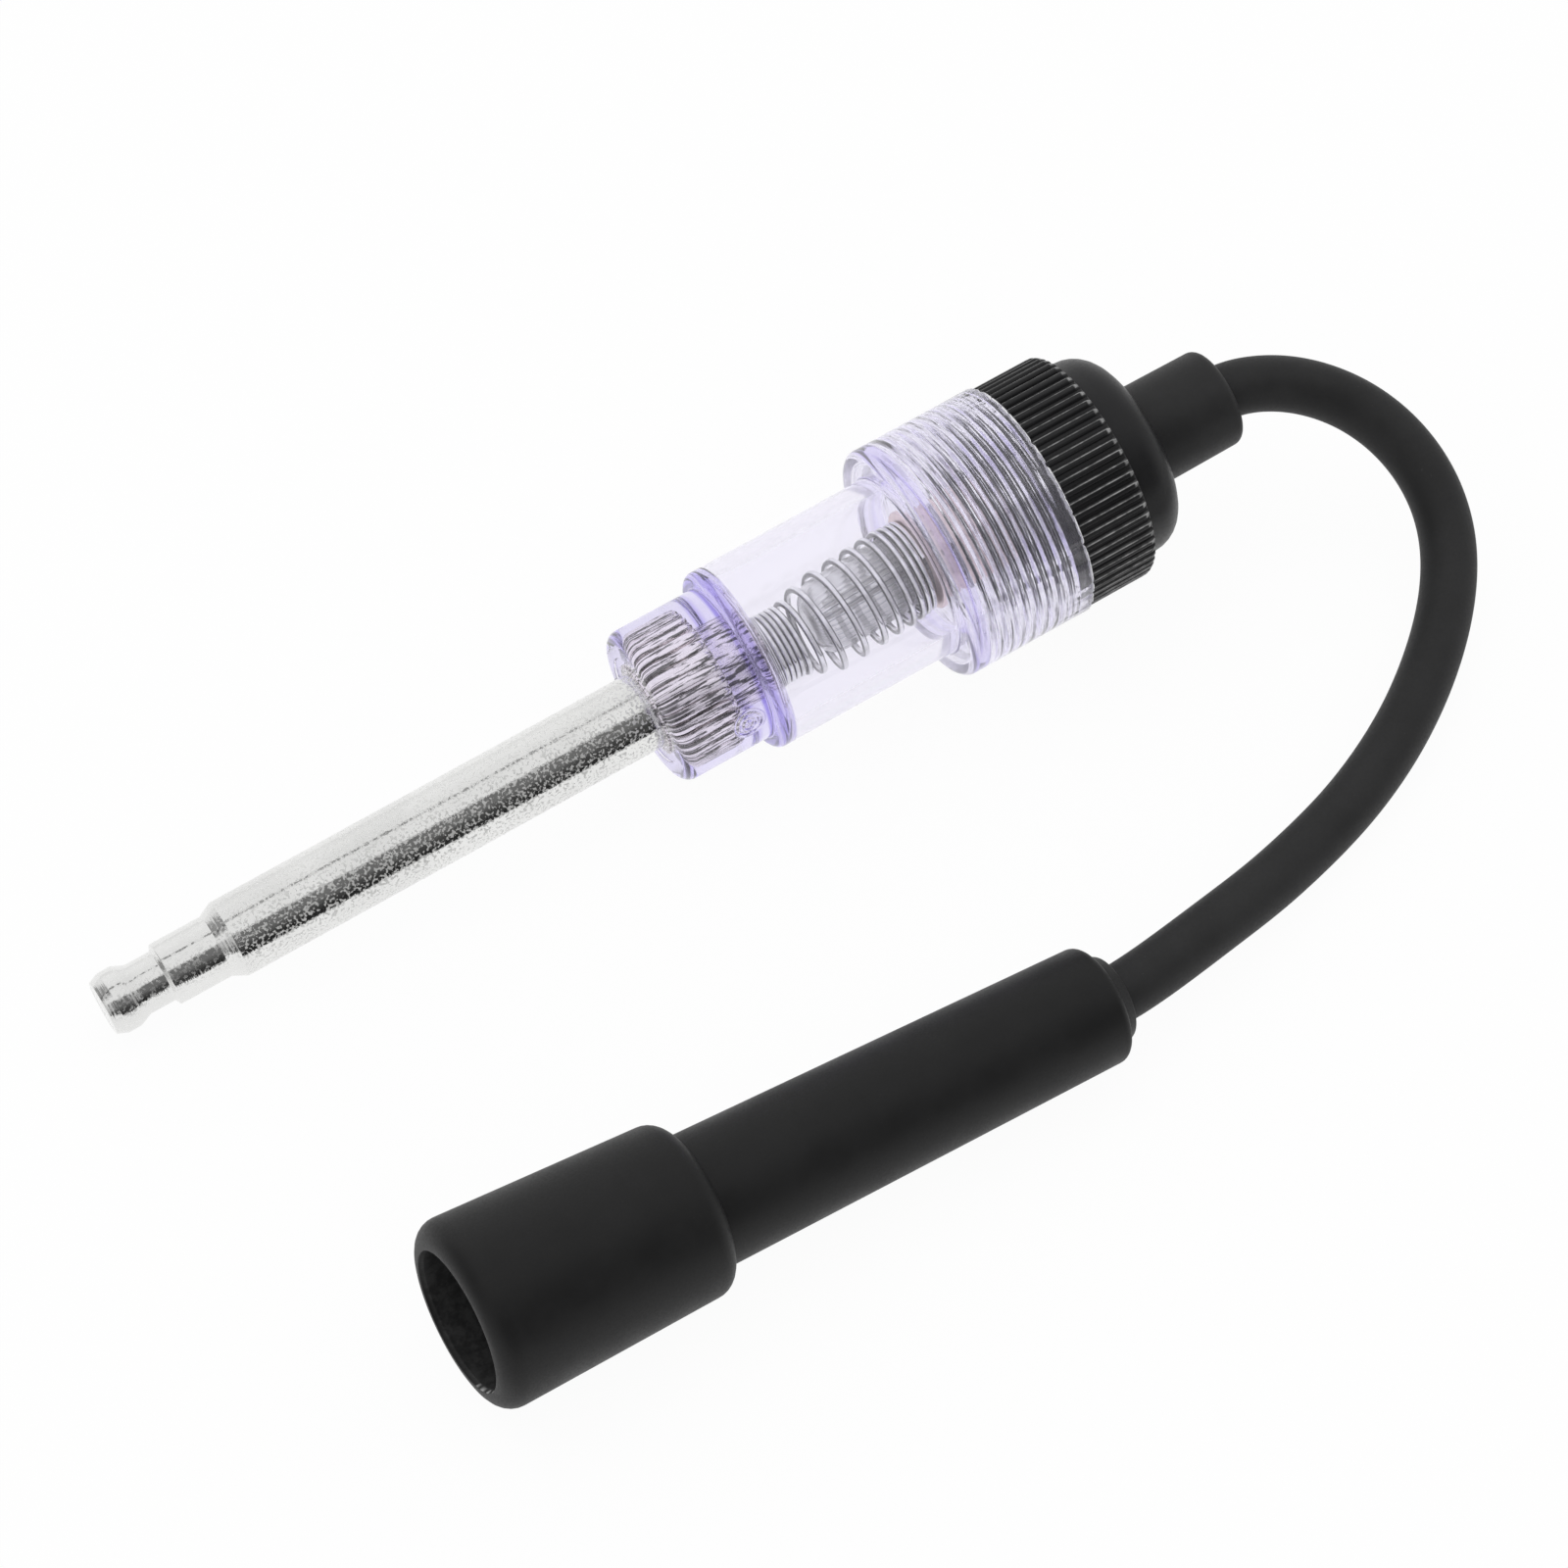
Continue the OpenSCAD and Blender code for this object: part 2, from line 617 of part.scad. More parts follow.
module lamp_insulator() {
    color("black")
        along_tool()
            difference() {
                union() {
                    rod_piece(base_d, u_base_end, u_disc_end);
                    rod_piece(base_d - 2 * base_wall - 2 * fit_gap, u_base_end - disc_t, u_disc_end);
                }
                electrode_hole(1, fit_gap, u_base_end - disc_t - cut_over, u_disc_end + cut_over);
            }
}

module lamp_tip_contact() {
    color("lightgray")
        along_tool()
            turned([[0, u_disc_end], [tip_d / 2, u_disc_end], [tip_d / 2, u_disc_end + tip_h * tip_share],
                    [tip_d / 2 * tip_share, u_tip_end], [0, u_tip_end]]);
}

module cap_contact() {
    color("goldenrod")
        along_tool()
            union() {
                rod_piece(contact_d, u_contact, u_tail);
                rod_piece(tail_d, u_contact, u_crimp - seat_gap);
            }
}

module crimp_ferrule() {
    bore = max(tail_d, core_d) + 2 * fit_gap;
    color("silver")
        along_tool()
            tube_piece(ferrule_d, bore, u_ferrule, u_ferrule + ferrule_len);
}

module screw_cap() {
    core_r = thread_d / 2 - thread_h - thread_gap;
    color([0.16, 0.16, 0.17])
        along_tool()
            difference() {
                union() {
                    turned(concat(
                        [[0, u_holder], [holder_d / 2, u_holder], [holder_d / 2, u_spigot],
                         [core_r, u_spigot], [core_r, u_ring], [ring_d / 2 - rib_h, u_ring],
                         [ring_d / 2 - rib_h, u_dome], [dome_d / 2, u_dome]],
                        arc([dome_d / 2 - dome_round, u_rear - dome_round], dome_round, 0, 90),
                        [[0, u_rear]]));
                    translate([0, 0, u_ring])
                        linear_extrude(ring_len)
                            polygon(ribbed(ring_d / 2 - rib_h, ring_d / 2, ribs));
                    thread_ridge(spigot_thread, u_seat - thread_plain,
                                 core_r - ridge_root, core_r + thread_h);
                }
                rod_piece(base_d + 2 * lamp_gap, u_holder - cut_over, u_disc_end);
                rod_piece(contact_d + 2 * fit_gap, u_disc_end - cut_over, u_tail);
                rod_piece(ferrule_d + 2 * fit_gap, u_tail - cut_over, u_lead);
                rod_piece(lead_d + 2 * fit_gap, u_lead - cut_over, u_sleeve);
                rod_piece(sleeve_d + 2 * fit_gap, u_sleeve, u_rear + cut_over);
            }
}

module lead_sleeve() {
    color([0.17, 0.17, 0.18])
        along_tool()
            turned(concat(
                [[lead_d / 2 + fit_gap, u_sleeve], [sleeve_d / 2, u_sleeve], [sleeve_d / 2, u_rear]],
                arc([sleeve_end_d / 2 - sleeve_round, u_end - sleeve_round], sleeve_round, 0, 90),
                [[lead_d / 2 + fit_gap, u_end]]));
}

module lead_in_cap() {
    color([0.18, 0.18, 0.18])
        along_tool()
            tube_piece(lead_d, core_d + 2 * fit_gap, u_lead, u_end);
}

module core_in_cap() {
    color("peru")
        along_tool()
            rod_piece(core_d, u_crimp + seat_gap, u_end);
}

module ht_lead() {
    color([0.18, 0.18, 0.18])
        polyhedron(tube_points(lead_route, lead_d, lead_sides), sweep_faces(len(lead_route), lead_sides));
}

module plug_boot() {
    bore_r = mouth_bore / 2;
    lead_r = lead_d / 2 + fit_gap;
    color([0.15, 0.15, 0.15])
        along_boot()
            turned(concat(
                arc([bore_r + rim_inner, rim_inner], rim_inner, 180, 270),
                arc([mouth_d / 2 - rim_round, rim_round], rim_round, -90, 0),
                arc([tail_d0 / 2, mouth_len], shoulder_round, 0, 90),
                arc([tail_d1 / 2 - tail_round, b_tail_end - tail_round], tail_round, 0, 90),
                [[lip_d / 2, b_tail_end], [lip_d / 2, b_end - lip_chamfer],
                 [lip_d / 2 - lip_chamfer, b_end], [lead_r, b_end], [lead_r, b_nest_end],
                 [nest_bore / 2, b_nest_end], [nest_bore / 2, b_floor], [bore_r, b_floor]]));
}

module lead_in_boot() {
    color([0.18, 0.18, 0.18])
        along_boot()
            tube_piece(lead_d, core_d + 2 * fit_gap, b_lead, b_end);
}

module core_in_boot() {
    color("peru")
        along_boot()
            rod_piece(core_d, b_lead, b_end);
}

module boot_terminal() {
    groove_w = snap_wire + 2 * fit_gap;
    barrel_bore = lead_d + 2 * fit_gap;
    color("lightsteelblue")
        along_boot()
            difference() {
                union() {
                    rod_piece(cup_d, b_cup, b_barrel);
                    rod_piece(barrel_bore + 2 * barrel_wall, b_wall, b_barrel_end);
                }
                rod_piece(cup_bore, b_cup - cut_over, b_wall);
                rod_piece(cup_bore + 2 * snap_groove, b_cup + snap_at, b_cup + snap_at + groove_w);
                rod_piece(barrel_bore, b_barrel, b_barrel_end + cut_over);
            }
}

module snap_ring() {
    color("silver")
        along_boot()
            translate([0, 0, b_cup + snap_at + snap_wire / 2 + fit_gap])
                rotate_extrude(angle = 360 - snap_gap)
                    translate([cup_bore / 2, 0])
                        circle(d = snap_wire);
}

terminal_rod();
clear_housing();
contact_spring();
lamp_glass();
lamp_bead();
lamp_electrode_base();
lamp_electrode_tip();
lamp_base();
lamp_insulator();
lamp_tip_contact();
cap_contact();
crimp_ferrule();
screw_cap();
lead_sleeve();
lead_in_cap();
core_in_cap();
ht_lead();
plug_boot();
lead_in_boot();
core_in_boot();
boot_terminal();
snap_ring();
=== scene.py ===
"""Dresses the spark plug tester for rendering: a plated terminal rod, a clear screw-on housing with a sprung lamp,
a ribbed cap, a short lead and a rubber plug boot. It is laid out as an add-on and run as a script."""
import math

import bpy
from mathutils import Matrix, Vector, noise


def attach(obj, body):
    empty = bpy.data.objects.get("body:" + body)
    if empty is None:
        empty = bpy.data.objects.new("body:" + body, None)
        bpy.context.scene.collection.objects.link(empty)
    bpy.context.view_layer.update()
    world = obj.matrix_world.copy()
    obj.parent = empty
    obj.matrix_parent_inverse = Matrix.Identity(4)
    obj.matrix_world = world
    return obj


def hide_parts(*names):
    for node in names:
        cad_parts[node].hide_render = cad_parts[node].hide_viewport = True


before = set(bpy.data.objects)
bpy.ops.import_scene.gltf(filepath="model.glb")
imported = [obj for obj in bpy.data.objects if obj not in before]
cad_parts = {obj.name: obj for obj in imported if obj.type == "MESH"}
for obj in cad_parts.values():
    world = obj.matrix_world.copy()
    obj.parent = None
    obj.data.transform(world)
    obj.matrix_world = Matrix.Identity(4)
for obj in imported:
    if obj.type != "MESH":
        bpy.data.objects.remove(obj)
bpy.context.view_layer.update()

bl_info = {
    "name": "Spark plug tester",
    "version": (1, 0, 0),
    "blender": (4, 5, 0),
    "location": "3D View > Sidebar > Tester",
    "description": "Builds the dressed pieces of an in-line spark plug tester on its packed model",
    "category": "Object",
}

MM = 0.001
# Tilt of the tool and of the boot as they lie, and the boot's turn on the table, in degrees
TOOL_TILT = 5.93221
BOOT_TILT = -3.40934
BOOT_YAW = 0.9


def lay(origin, yaw, tilt):
    """Matrix that lays a piece made along Z, in millimetres, where the tool or the boot lies, in metres."""
    return (Matrix.Scale(MM, 4) @ Matrix.Translation(origin) @ Matrix.Rotation(math.radians(yaw), 4, "Z")
            @ Matrix.Rotation(math.radians(90 - tilt), 4, "Y"))


TOOL = lay((-62.061, 0, 3.01944), 0, TOOL_TILT)
BOOT = lay((-51.361, -49.8, 9.77664), BOOT_YAW, BOOT_TILT)

# Places along the tool from its tip, in millimetres, that more than one piece meets at
NECK_FRONT = 58.8
COLLAR_FRONT = 59.9
COLLAR_REAR = 66.1
CHAMBER_FRONT = 68.4
CHAMBER_FLOOR = 69.8
STUD_END = 73
GLASS_TIP = 76.8
WIDE_FRONT = 88.4
FLANGE = 89.4
GLASS_END = 93
HOUSING_REAR = 102.2
RING_FRONT = 102.25
RING_REAR = 109.65
DOME_REAR = 114.65
SLEEVE_REAR = 124.65
# Play between pieces that fit into each other, in millimetres
FIT = 0.02
# Direction across the tool in which the spring and the lamp's glass hang off its axis
SAG = (0.53, -0.85)

# Route of the lead from the sleeve to the boot, in metres
LEAD_ROUTE = [
    (0.0619215, 0, 0.0159022), (0.0627172, 0, 0.0159849), (0.0652784, -0.0003959, 0.01591),
    (0.0696554, -0.0020117, 0.01504), (0.0740724, -0.0053176, 0.01317), (0.0768893, -0.0098835, 0.01094),
    (0.0777263, -0.0151493, 0.00863), (0.0765233, -0.0203952, 0.00642), (0.0734602, -0.0250711, 0.00477),
    (0.0697072, -0.0289169, 0.0037), (0.0653942, -0.0324428, 0.0031), (0.0604011, -0.0358386, 0.00288),
    (0.0549281, -0.0388045, 0.00286), (0.0495151, -0.0411204, 0.00286), (0.043952, -0.0429162, 0.00293),
    (0.038369, -0.0445621, 0.00333), (0.032756, -0.045968, 0.00419), (0.0270929, -0.0472638, 0.00481),
    (0.0224499, -0.0482197, 0.00527), (0.0191054, -0.048693, 0.0055781), (0.0183069, -0.0487056, 0.0056257),
]


# Settings

def size(name, description, default):
    return bpy.props.FloatProperty(name=name, description=description, default=default, min=0.0,
                                   precision=5, unit="LENGTH")


def count(name, description, default):
    return bpy.props.IntProperty(name=name, description=description, default=default, min=3)


def share(name, description, default):
    return bpy.props.FloatProperty(name=name, description=description, default=default, min=0.0,
                                   subtype="FACTOR", soft_max=1.0)


def colour(name, description, default):
    return bpy.props.FloatVectorProperty(name=name, description=description, default=default, min=0.0, max=1.0,
                                         size=3, subtype="COLOR")


class TESTER_PG_rod(bpy.types.PropertyGroup):
    rod: size("Rod", "Diameter of the plain rod", 0.0078)
    terminal: size("Terminal", "Diameter of the plug terminal behind the snap groove", 0.00635)
    head: size("Snap head", "Diameter of the snap head", 0.0063)
    groove: size("Snap groove", "Diameter of the snap groove", 0.0052)
    knurls: count("Knurls", "Number of straight knurls on the moulded-in collar", 26)
    collar: size("Collar", "Diameter over the knurls", 0.0096)
    plating: colour("Plating", "Colour of the bright plating", (0.82, 0.82, 0.81))
    buried: colour("Collar metal", "Colour of the metal inside the clear plastic", (0.97, 0.93, 0.93))
    grain: size("Grain", "Size of the grain in the plating", 0.0003)


class TESTER_PG_housing(bpy.types.PropertyGroup):
    neck: size("Neck", "Diameter of the neck", 0.0161)
    chamber: size("Chamber", "Diameter of the lamp chamber", 0.019)
    wide: size("Wide section", "Diameter of the wide threaded section", 0.0246)
    thread: size("Thread", "Diameter of the bore outside the thread", 0.022)
    pitch: size("Pitch", "Pitch of the right-hand thread", 0.00125)
    tint: colour("Tint", "Colour that the clear plastic lets through", (0.42, 0.3, 0.9))
    depth: bpy.props.FloatProperty(name="Depth of tint", description="How fast the plastic takes up light, per metre",
                                   default=30.0, min=0.0)
    root: colour("Root tint", "Colour of the thick plastic between neck and chamber", (0.5, 0.44, 0.9))
    haze: share("Haze", "How milky the plastic's faces are", 0.025)
    corner: share("Corner haze", "How milky the plastic's rounded corners are", 0.15)


class TESTER_PG_lamp(bpy.types.PropertyGroup):
    wire: size("Spring wire", "Diameter of the spring wire", 0.00066)
    small: size("Small end", "Diameter over the spring round the stud", 0.0075)
    big: size("Big end", "Diameter over the spring round the lamp", 0.0101)
    glass: size("Glass", "Diameter of the glass envelope", 0.0076)
    flutes: count("Flutes", "Number of fine flutes along the glass", 44)
    base: size("Base", "Diameter of the metal base", 0.0092)
    steel: colour("Spring steel", "Colour of the spring wire", (0.88, 0.885, 0.89))
    brass: colour("Lamp base", "Colour of the metal base", (0.98, 0.85, 0.82))


class TESTER_PG_cap(bpy.types.PropertyGroup):
    ring: size("Ribbed ring", "Diameter over the ribs", 0.0241)
    ribs: count("Ribs", "Number of ribs round the cap", 64)
    height: size("Rib height", "Height of the ribs", 0.00035)
    dome: size("Shoulder", "Diameter of the smooth shoulder", 0.0209)
    sleeve: size("Sleeve", "Diameter of the sleeve where it leaves the cap", 0.0104)
    plastic: colour("Cap plastic", "Colour of the black cap", (0.0095, 0.0095, 0.0103))
    # The ribs' marks are lightened by this much: a painted highlight along one edge of every rib, and lighter tops
    # where the sections say
    wear_and_painted_light: share("Edge wear", "Brightness of the worn edges of the ribs", 0.4)


class TESTER_PG_lead(bpy.types.PropertyGroup):
    lead: size("Lead", "Diameter of the lead", 0.0056)
    length: size("Lead length", "Length of the lead between sleeve and boot", 0.0985)
    mouth: size("Mouth", "Diameter of the boot at its mouth", 0.0185)
    bore: size("Bore", "Diameter of the mouth's bore", 0.0135)
    tail: size("Tail", "Diameter of the boot's tail at the shoulder", 0.0129)
    rubber: colour("Rubber", "Colour of the black rubber", (0.0115, 0.0115, 0.0118))
    # Brightness of the boot's marks: painted glints on the shreds of flash, and a twentieth of it as painted light
    # inside the bore
    flash: share("Flash", "Brightness of the shreds of flash on the bore's edge", 0.6)


class TESTER_PG_stage(bpy.types.PropertyGroup):
    floor: colour("Floor", "Colour of the floor", (0.9, 0.9, 0.9))
    sky: share("Sky", "Strength of the soft light all round", 0.86)
    softbox: bpy.props.FloatProperty(name="Softbox", description="Power of the softbox overhead", default=1.0,
                                     min=0.0, unit="POWER")


class TESTER_PG_settings(bpy.types.PropertyGroup):
    rod: bpy.props.PointerProperty(type=TESTER_PG_rod)
    housing: bpy.props.PointerProperty(type=TESTER_PG_housing)
    lamp: bpy.props.PointerProperty(type=TESTER_PG_lamp)
    cap: bpy.props.PointerProperty(type=TESTER_PG_cap)
    lead: bpy.props.PointerProperty(type=TESTER_PG_lead)
    stage: bpy.props.PointerProperty(type=TESTER_PG_stage)


# Shapes

def radii(group, *names):
    """Radii in millimetres of a group's diameters, which are in metres."""
    return [500 * getattr(group, name) for name in names]


def smooth(x):
    """Soft step from nothing to one."""
    x = min(max(x, 0.0), 1.0)
    return x * x * (3 - 2 * x)


# Share of an edge that the arcs at its ends may take up
ARC_ROOM = 0.98


def rounded(corners, steps=5):
    """Outline through corners of (radius, place, rounding), with an arc at each rounded corner but the ends."""
    outline = []
    for i, (radius, place, rounding) in enumerate(corners):
        here = Vector((radius, place))
        if rounding <= 0 or i in (0, len(corners) - 1):
            outline.append((radius, place))
            continue
        back = Vector(corners[i - 1][:2]) - here
        on = Vector(corners[i + 1][:2]) - here
        half = back.angle(on) / 2
        room = ARC_ROOM * back.length * rounding / (rounding + corners[i - 1][2])
        space = ARC_ROOM * on.length * rounding / (rounding + corners[i + 1][2])
        reach = min(rounding / math.tan(half), room, space)
        back.normalize()
        on.normalize()
        middle = here + (back + on).normalized() * (reach / math.cos(half))
        start = here + back * reach - middle
        stop = here + on * reach - middle
        sweep = math.pi - 2 * half
        for step in range(steps + 1):
            x = step / steps
            spoke = (start * math.sin((1 - x) * sweep) + stop * math.sin(x * sweep)) / math.sin(sweep)
            outline.append(tuple(middle + spoke))
    return outline


def arc(radius, place, reach, start, stop, steps=8):
    """Part of a circle about a radius and a place, between two angles in degrees from straight outwards."""
    angles = [math.radians(start + (stop - start) * step / steps) for step in range(steps + 1)]
    return [(radius + reach * math.cos(angle), place + reach * math.sin(angle)) for angle in angles]


def split(outline, longest):
    """The outline with extra points, so that no step is longer than that."""
    finer = [outline[0]]
    for start, stop in zip(outline, outline[1:]):
        parts = max(1, math.ceil(math.dist(start, stop) / longest))
        for part in range(1, parts + 1):
            x = part / parts
            finer.append((start[0] + (stop[0] - start[0]) * x, start[1] + (stop[1] - start[1]) * x))
    return finer


# Half a thread ridge: distance from its middle, as a share of the pitch, and its height, as a share of the ridge's
SHARP_RIDGE = [(0.0, 1.0), (0.05, 1.0), (0.085, 0.96), (0.12, 0.86), (0.25, 0.47), (0.38, 0.08), (0.41, 0.02),
               (0.44, 0.0), (0.5, 0.0)]
BLUNT_RIDGE = [(0.0, 1.0), (0.075, 1.0), (0.12, 0.965), (0.145, 0.87), (0.17, 0.7), (0.215, 0.35), (0.24, 0.14),
               (0.265, 0.035), (0.3, 0.0), (0.4, 0.0), (0.5, 0.0)]
# Length over which a ridge rises and ends, in millimetres
RUN_OUT = 0.3


class Skin:
    """Rings of points round the Z axis, in millimetres, joined into a skin with a map of turn and length."""

    def __init__(self, segments):
        self.segments = segments
        self.points = []
        self.faces = []
        self.maps = []

    def ring(self, radius, place, shape=None):
        first = len(self.points)
        if radius < 1e-6:
            self.points.append((0.0, 0.0, place))
            return [first] * (self.segments + 1)
        for step in range(self.segments):
            turn = math.tau * step / self.segments
            r, u = shape(turn, radius, place) if shape else (radius, place)
            self.points.append((r * math.cos(turn), r * math.sin(turn), u))
        return [*range(first, first + self.segments), first]

    def face(self, corners, spots):
        kept = []
        for corner, spot in zip(corners, spots):
            if all(corner != other for other, _ in kept):
                kept.append((corner, spot))
        if len(kept) > 2:
            self.faces.append([corner for corner, _ in kept])
            self.maps.append([spot for _, spot in kept])

    def band(self, a, b, place_a, place_b):
        for step in range(self.segments):
            left, right = step / self.segments, (step + 1) / self.segments
            self.face((a[step], a[step + 1], b[step + 1], b[step]),
                      ((left, place_a), (right, place_a), (right, place_b), (left, place_b)))

    def turn(self, outline, shape=None):
        """Adds the rings of an outline and the bands between them."""
        rings = [self.ring(radius, place, shape) for radius, place in outline]
        for i in range(len(rings) - 1):
            self.band(rings[i], rings[i + 1], outline[i][1], outline[i + 1][1])
        return rings

    def thread(self, front, rear, span, root, ridge, height, pitch, run, inner):
        """Adds a wall with a right-hand ridge between two rings. Span holds the rings' places, run the ridge's ends."""
        shape = [(-x, y) for x, y in ridge[:0:-1]] + ridge[:-1]
        first = math.floor((span[0] - run[0]) / pitch) - 2
        last = math.ceil((span[1] - run[0]) / pitch) + 2
        lines = [(run[0] + n * pitch + x * pitch, x * pitch, y) for n in range(first, last) for x, y in shape]
        made = {}

        def corner(line, step):
            if step == self.segments:
                line, step = line + len(shape), 0
            place, aside, rise = lines[line]
            place += pitch * step / self.segments
            if place <= span[0]:
                return front[step], span[0]
            if place >= span[1]:
                return rear[step], span[1]
            if (line, step) not in made:
                middle = place - aside
                rise *= height * smooth((middle - run[0]) / RUN_OUT) * smooth((run[1] - middle) / RUN_OUT)
                radius = root - rise if inner else root + rise
                turn = math.tau * step / self.segments
                made[line, step] = len(self.points)
                self.points.append((radius * math.cos(turn), radius * math.sin(turn), place))
            return made[line, step], place

        for line in range(len(lines) - len(shape) - 1):
            for step in range(self.segments):
                loop = [(line, step), (line, step + 1), (line + 1, step + 1), (line + 1, step)]
                if inner:
                    loop.reverse()
                found = [corner(*spot) for spot in loop]
                self.face([index for index, _ in found],
                          [(spot[1] / self.segments, place) for spot, (_, place) in zip(loop, found)])

    def mesh(self, name, matrix, sharp=35):
        made = bpy.data.meshes.new(name)
        made.from_pydata([matrix @ Vector(point) for point in self.points], [], self.faces)
        layer = made.uv_layers.new(name="Skin")
        layer.data.foreach_set("uv", [x for spots in self.maps for spot in spots for x in spot])
        made.shade_smooth()
        made.set_sharp_from_angle(angle=math.radians(sharp))
        return made


def turned(name, outline, matrix, segments=128, shape=None, closed=False, sharp=35):
    """Mesh of an outline turned round the Z axis; a closed one joins its last ring to its first."""
    skin = Skin(segments)
    rings = skin.turn(outline, shape)
    if closed:
        skin.band(rings[-1], rings[0], outline[-1][1], outline[0][1])
    return skin.mesh(name, matrix, sharp)


def bar(name, sections, wear_and_painted_light=None):
    """Closed mesh through sections of as many points each, as a rib or a knurl is, with any marks of wear and painted
    highlight at each of them.
    """
    made = bpy.data.meshes.new(name)
    wide = len(sections[0])
    faces = [list(range(wide))[::-1], [len(sections) * wide - wide + i for i in range(wide)]]
    for row in range(len(sections) - 1):
        for i in range(wide):
            j = (i + 1) % wide
            faces.append([row * wide + i, row * wide + j, (row + 1) * wide + j, (row + 1) * wide + i])
    made.from_pydata([point for section in sections for point in section], [], faces)
    if wear_and_painted_light:
        layer = made.attributes.new("wear_and_painted_light", "FLOAT", "POINT")
        layer.data.foreach_set("value", [amount for row in wear_and_painted_light for amount in row])
    made.shade_smooth()
    made.set_sharp_from_angle(angle=math.radians(40))
    return made


def through(points, steps):
    """Smooth curve through points, with that many steps between each two."""
    points = [Vector(point) for point in points]
    ends = [2 * points[0] - points[1], *points, 2 * points[-1] - points[-2]]
    curve = []

    def between(a, b, start, stop, t):
        return a * ((stop - t) / (stop - start)) + b * ((t - start) / (stop - start))

    for a, b, c, d in zip(ends, ends[1:], ends[2:], ends[3:]):
        tb = (b - a).length ** 0.5
        tc = tb + (c - b).length ** 0.5
        td = tc + (d - c).length ** 0.5
        for step in range(steps):
            t = tb + (tc - tb) * step / steps
            ab, bc, cd = between(a, b, 0.0, tb, t), between(b, c, tb, tc, t), between(c, d, tc, td, t)
            abc, bcd = between(ab, bc, 0.0, tc, t), between(bc, cd, tb, td, t)
            curve.append(between(abc, bcd, tb, tc, t))
    return [*curve, points[-1]]


def relaxed(points, rounds):
    """The points with each moved towards its neighbours, again and again, so that sharp bends even out."""
    for _ in range(rounds):
        moved = [(a + 2 * b + c) / 4 for a, b, c in zip(points, points[1:], points[2:])]
        points = [points[0], *moved, points[-1]]
    return points


def line(name, points):
    """Curve of straight steps through points."""
    made = bpy.data.curves.new(name, "CURVE")
    made.dimensions = "3D"
    spline = made.splines.new("POLY")
    spline.points.add(len(points) - 1)
    spline.points.foreach_set("co", [x for point in points for x in (*point, 1.0)])
    return made


# Node trees

class Nodes:
    """Short ways to add nodes to a tree. A value is a number, a colour or the socket that feeds the input."""

    def __init__(self, tree):
        self.tree = tree

    def add(self, kind, values=None, **settings):
        made = self.tree.nodes.new(kind)
        for key, value in settings.items():
            setattr(made, key, value)
        for key, value in (values or {}).items():
            if isinstance(value, bpy.types.NodeSocket):
                self.tree.links.new(value, made.inputs[key])
            else:
                made.inputs[key].default_value = value
        return made

    def math(self, operation, a, b=0.0):
        return self.add("ShaderNodeMath", {0: a, 1: b}, operation=operation).outputs[0]

    def times(self, a, b):
        return self.math("MULTIPLY", a, b)

    def plus(self, a, b):
        return self.math("ADD", a, b)

    def less(self, a, b):
        return self.math("SUBTRACT", a, b)

    def most(self, a, b):
        return self.math("MAXIMUM", a, b)

    def joined(self, x=0.0, y=0.0, z=0.0):
        return self.add("ShaderNodeCombineXYZ", {0: x, 1: y, 2: z}).outputs[0]

    def parts(self, vector):
        return self.add("ShaderNodeSeparateXYZ", {0: vector}).outputs

    def range(self, value, low, high, to_low=0.0, to_high=1.0):
        """Soft step from one level to another between two values."""
        return self.add("ShaderNodeMapRange", {0: value, 1: low, 2: high, 3: to_low, 4: to_high},
                        interpolation_type="SMOOTHSTEP").outputs[0]

    def window(self, value, start, full, fading, stop):
        """One between two places of a value and nothing outside them, with soft sides."""
        return self.times(self.range(value, start, full), self.range(value, fading, stop, 1.0, 0.0))


class Growth(Nodes):
    """A geometry tree in the making, with its named inputs and their kinds."""

    def __init__(self, name, **inputs):
        super().__init__(bpy.data.node_groups.new(name, "GeometryNodeTree"))
        self.tree.is_modifier = True
        for label, kind in inputs.items():
            self.tree.interface.new_socket(name=label, in_out="INPUT", socket_type="NodeSocket" + kind)
        self.tree.interface.new_socket(name="Mesh", in_out="OUTPUT", socket_type="NodeSocketGeometry")
        self.source = self.add("NodeGroupInput").outputs

    def end(self, geometry):
        """Ends the tree: the instances become a mesh with the finish on it."""
        solid = self.add("GeometryNodeRealizeInstances", {"Geometry": geometry.outputs[0]})
        painted = self.add("GeometryNodeSetMaterial", {"Geometry": solid.outputs[0], "Material": self.source["Finish"]})
        self.add("NodeGroupOutput", {0: painted.outputs[0]})
        return self.tree


def ring_tree():
    """Repeats a shape round the Z axis, each copy a little higher or lower than the next."""
    nodes = Growth("Ring of ribs", Shape="Geometry", Count="Int", Unevenness="Float", Seed="Int", Finish="Material")
    source = nodes.source
    points = nodes.add("GeometryNodePoints", {"Count": source["Count"]})
    index = nodes.add("GeometryNodeInputIndex").outputs[0]
    turn = nodes.times(index, nodes.math("DIVIDE", math.tau, source["Count"]))
    chance = nodes.add("FunctionNodeRandomValue", {2: nodes.less(1.0, source["Unevenness"]), 3: 1.0,
                                                   "Seed": source["Seed"]}, data_type="FLOAT").outputs[1]
    return nodes.end(nodes.add("GeometryNodeInstanceOnPoints", {
        "Points": points.outputs[0], "Instance": source["Shape"], "Rotation": nodes.joined(z=turn),
        "Scale": nodes.joined(chance, chance, 1.0)}))


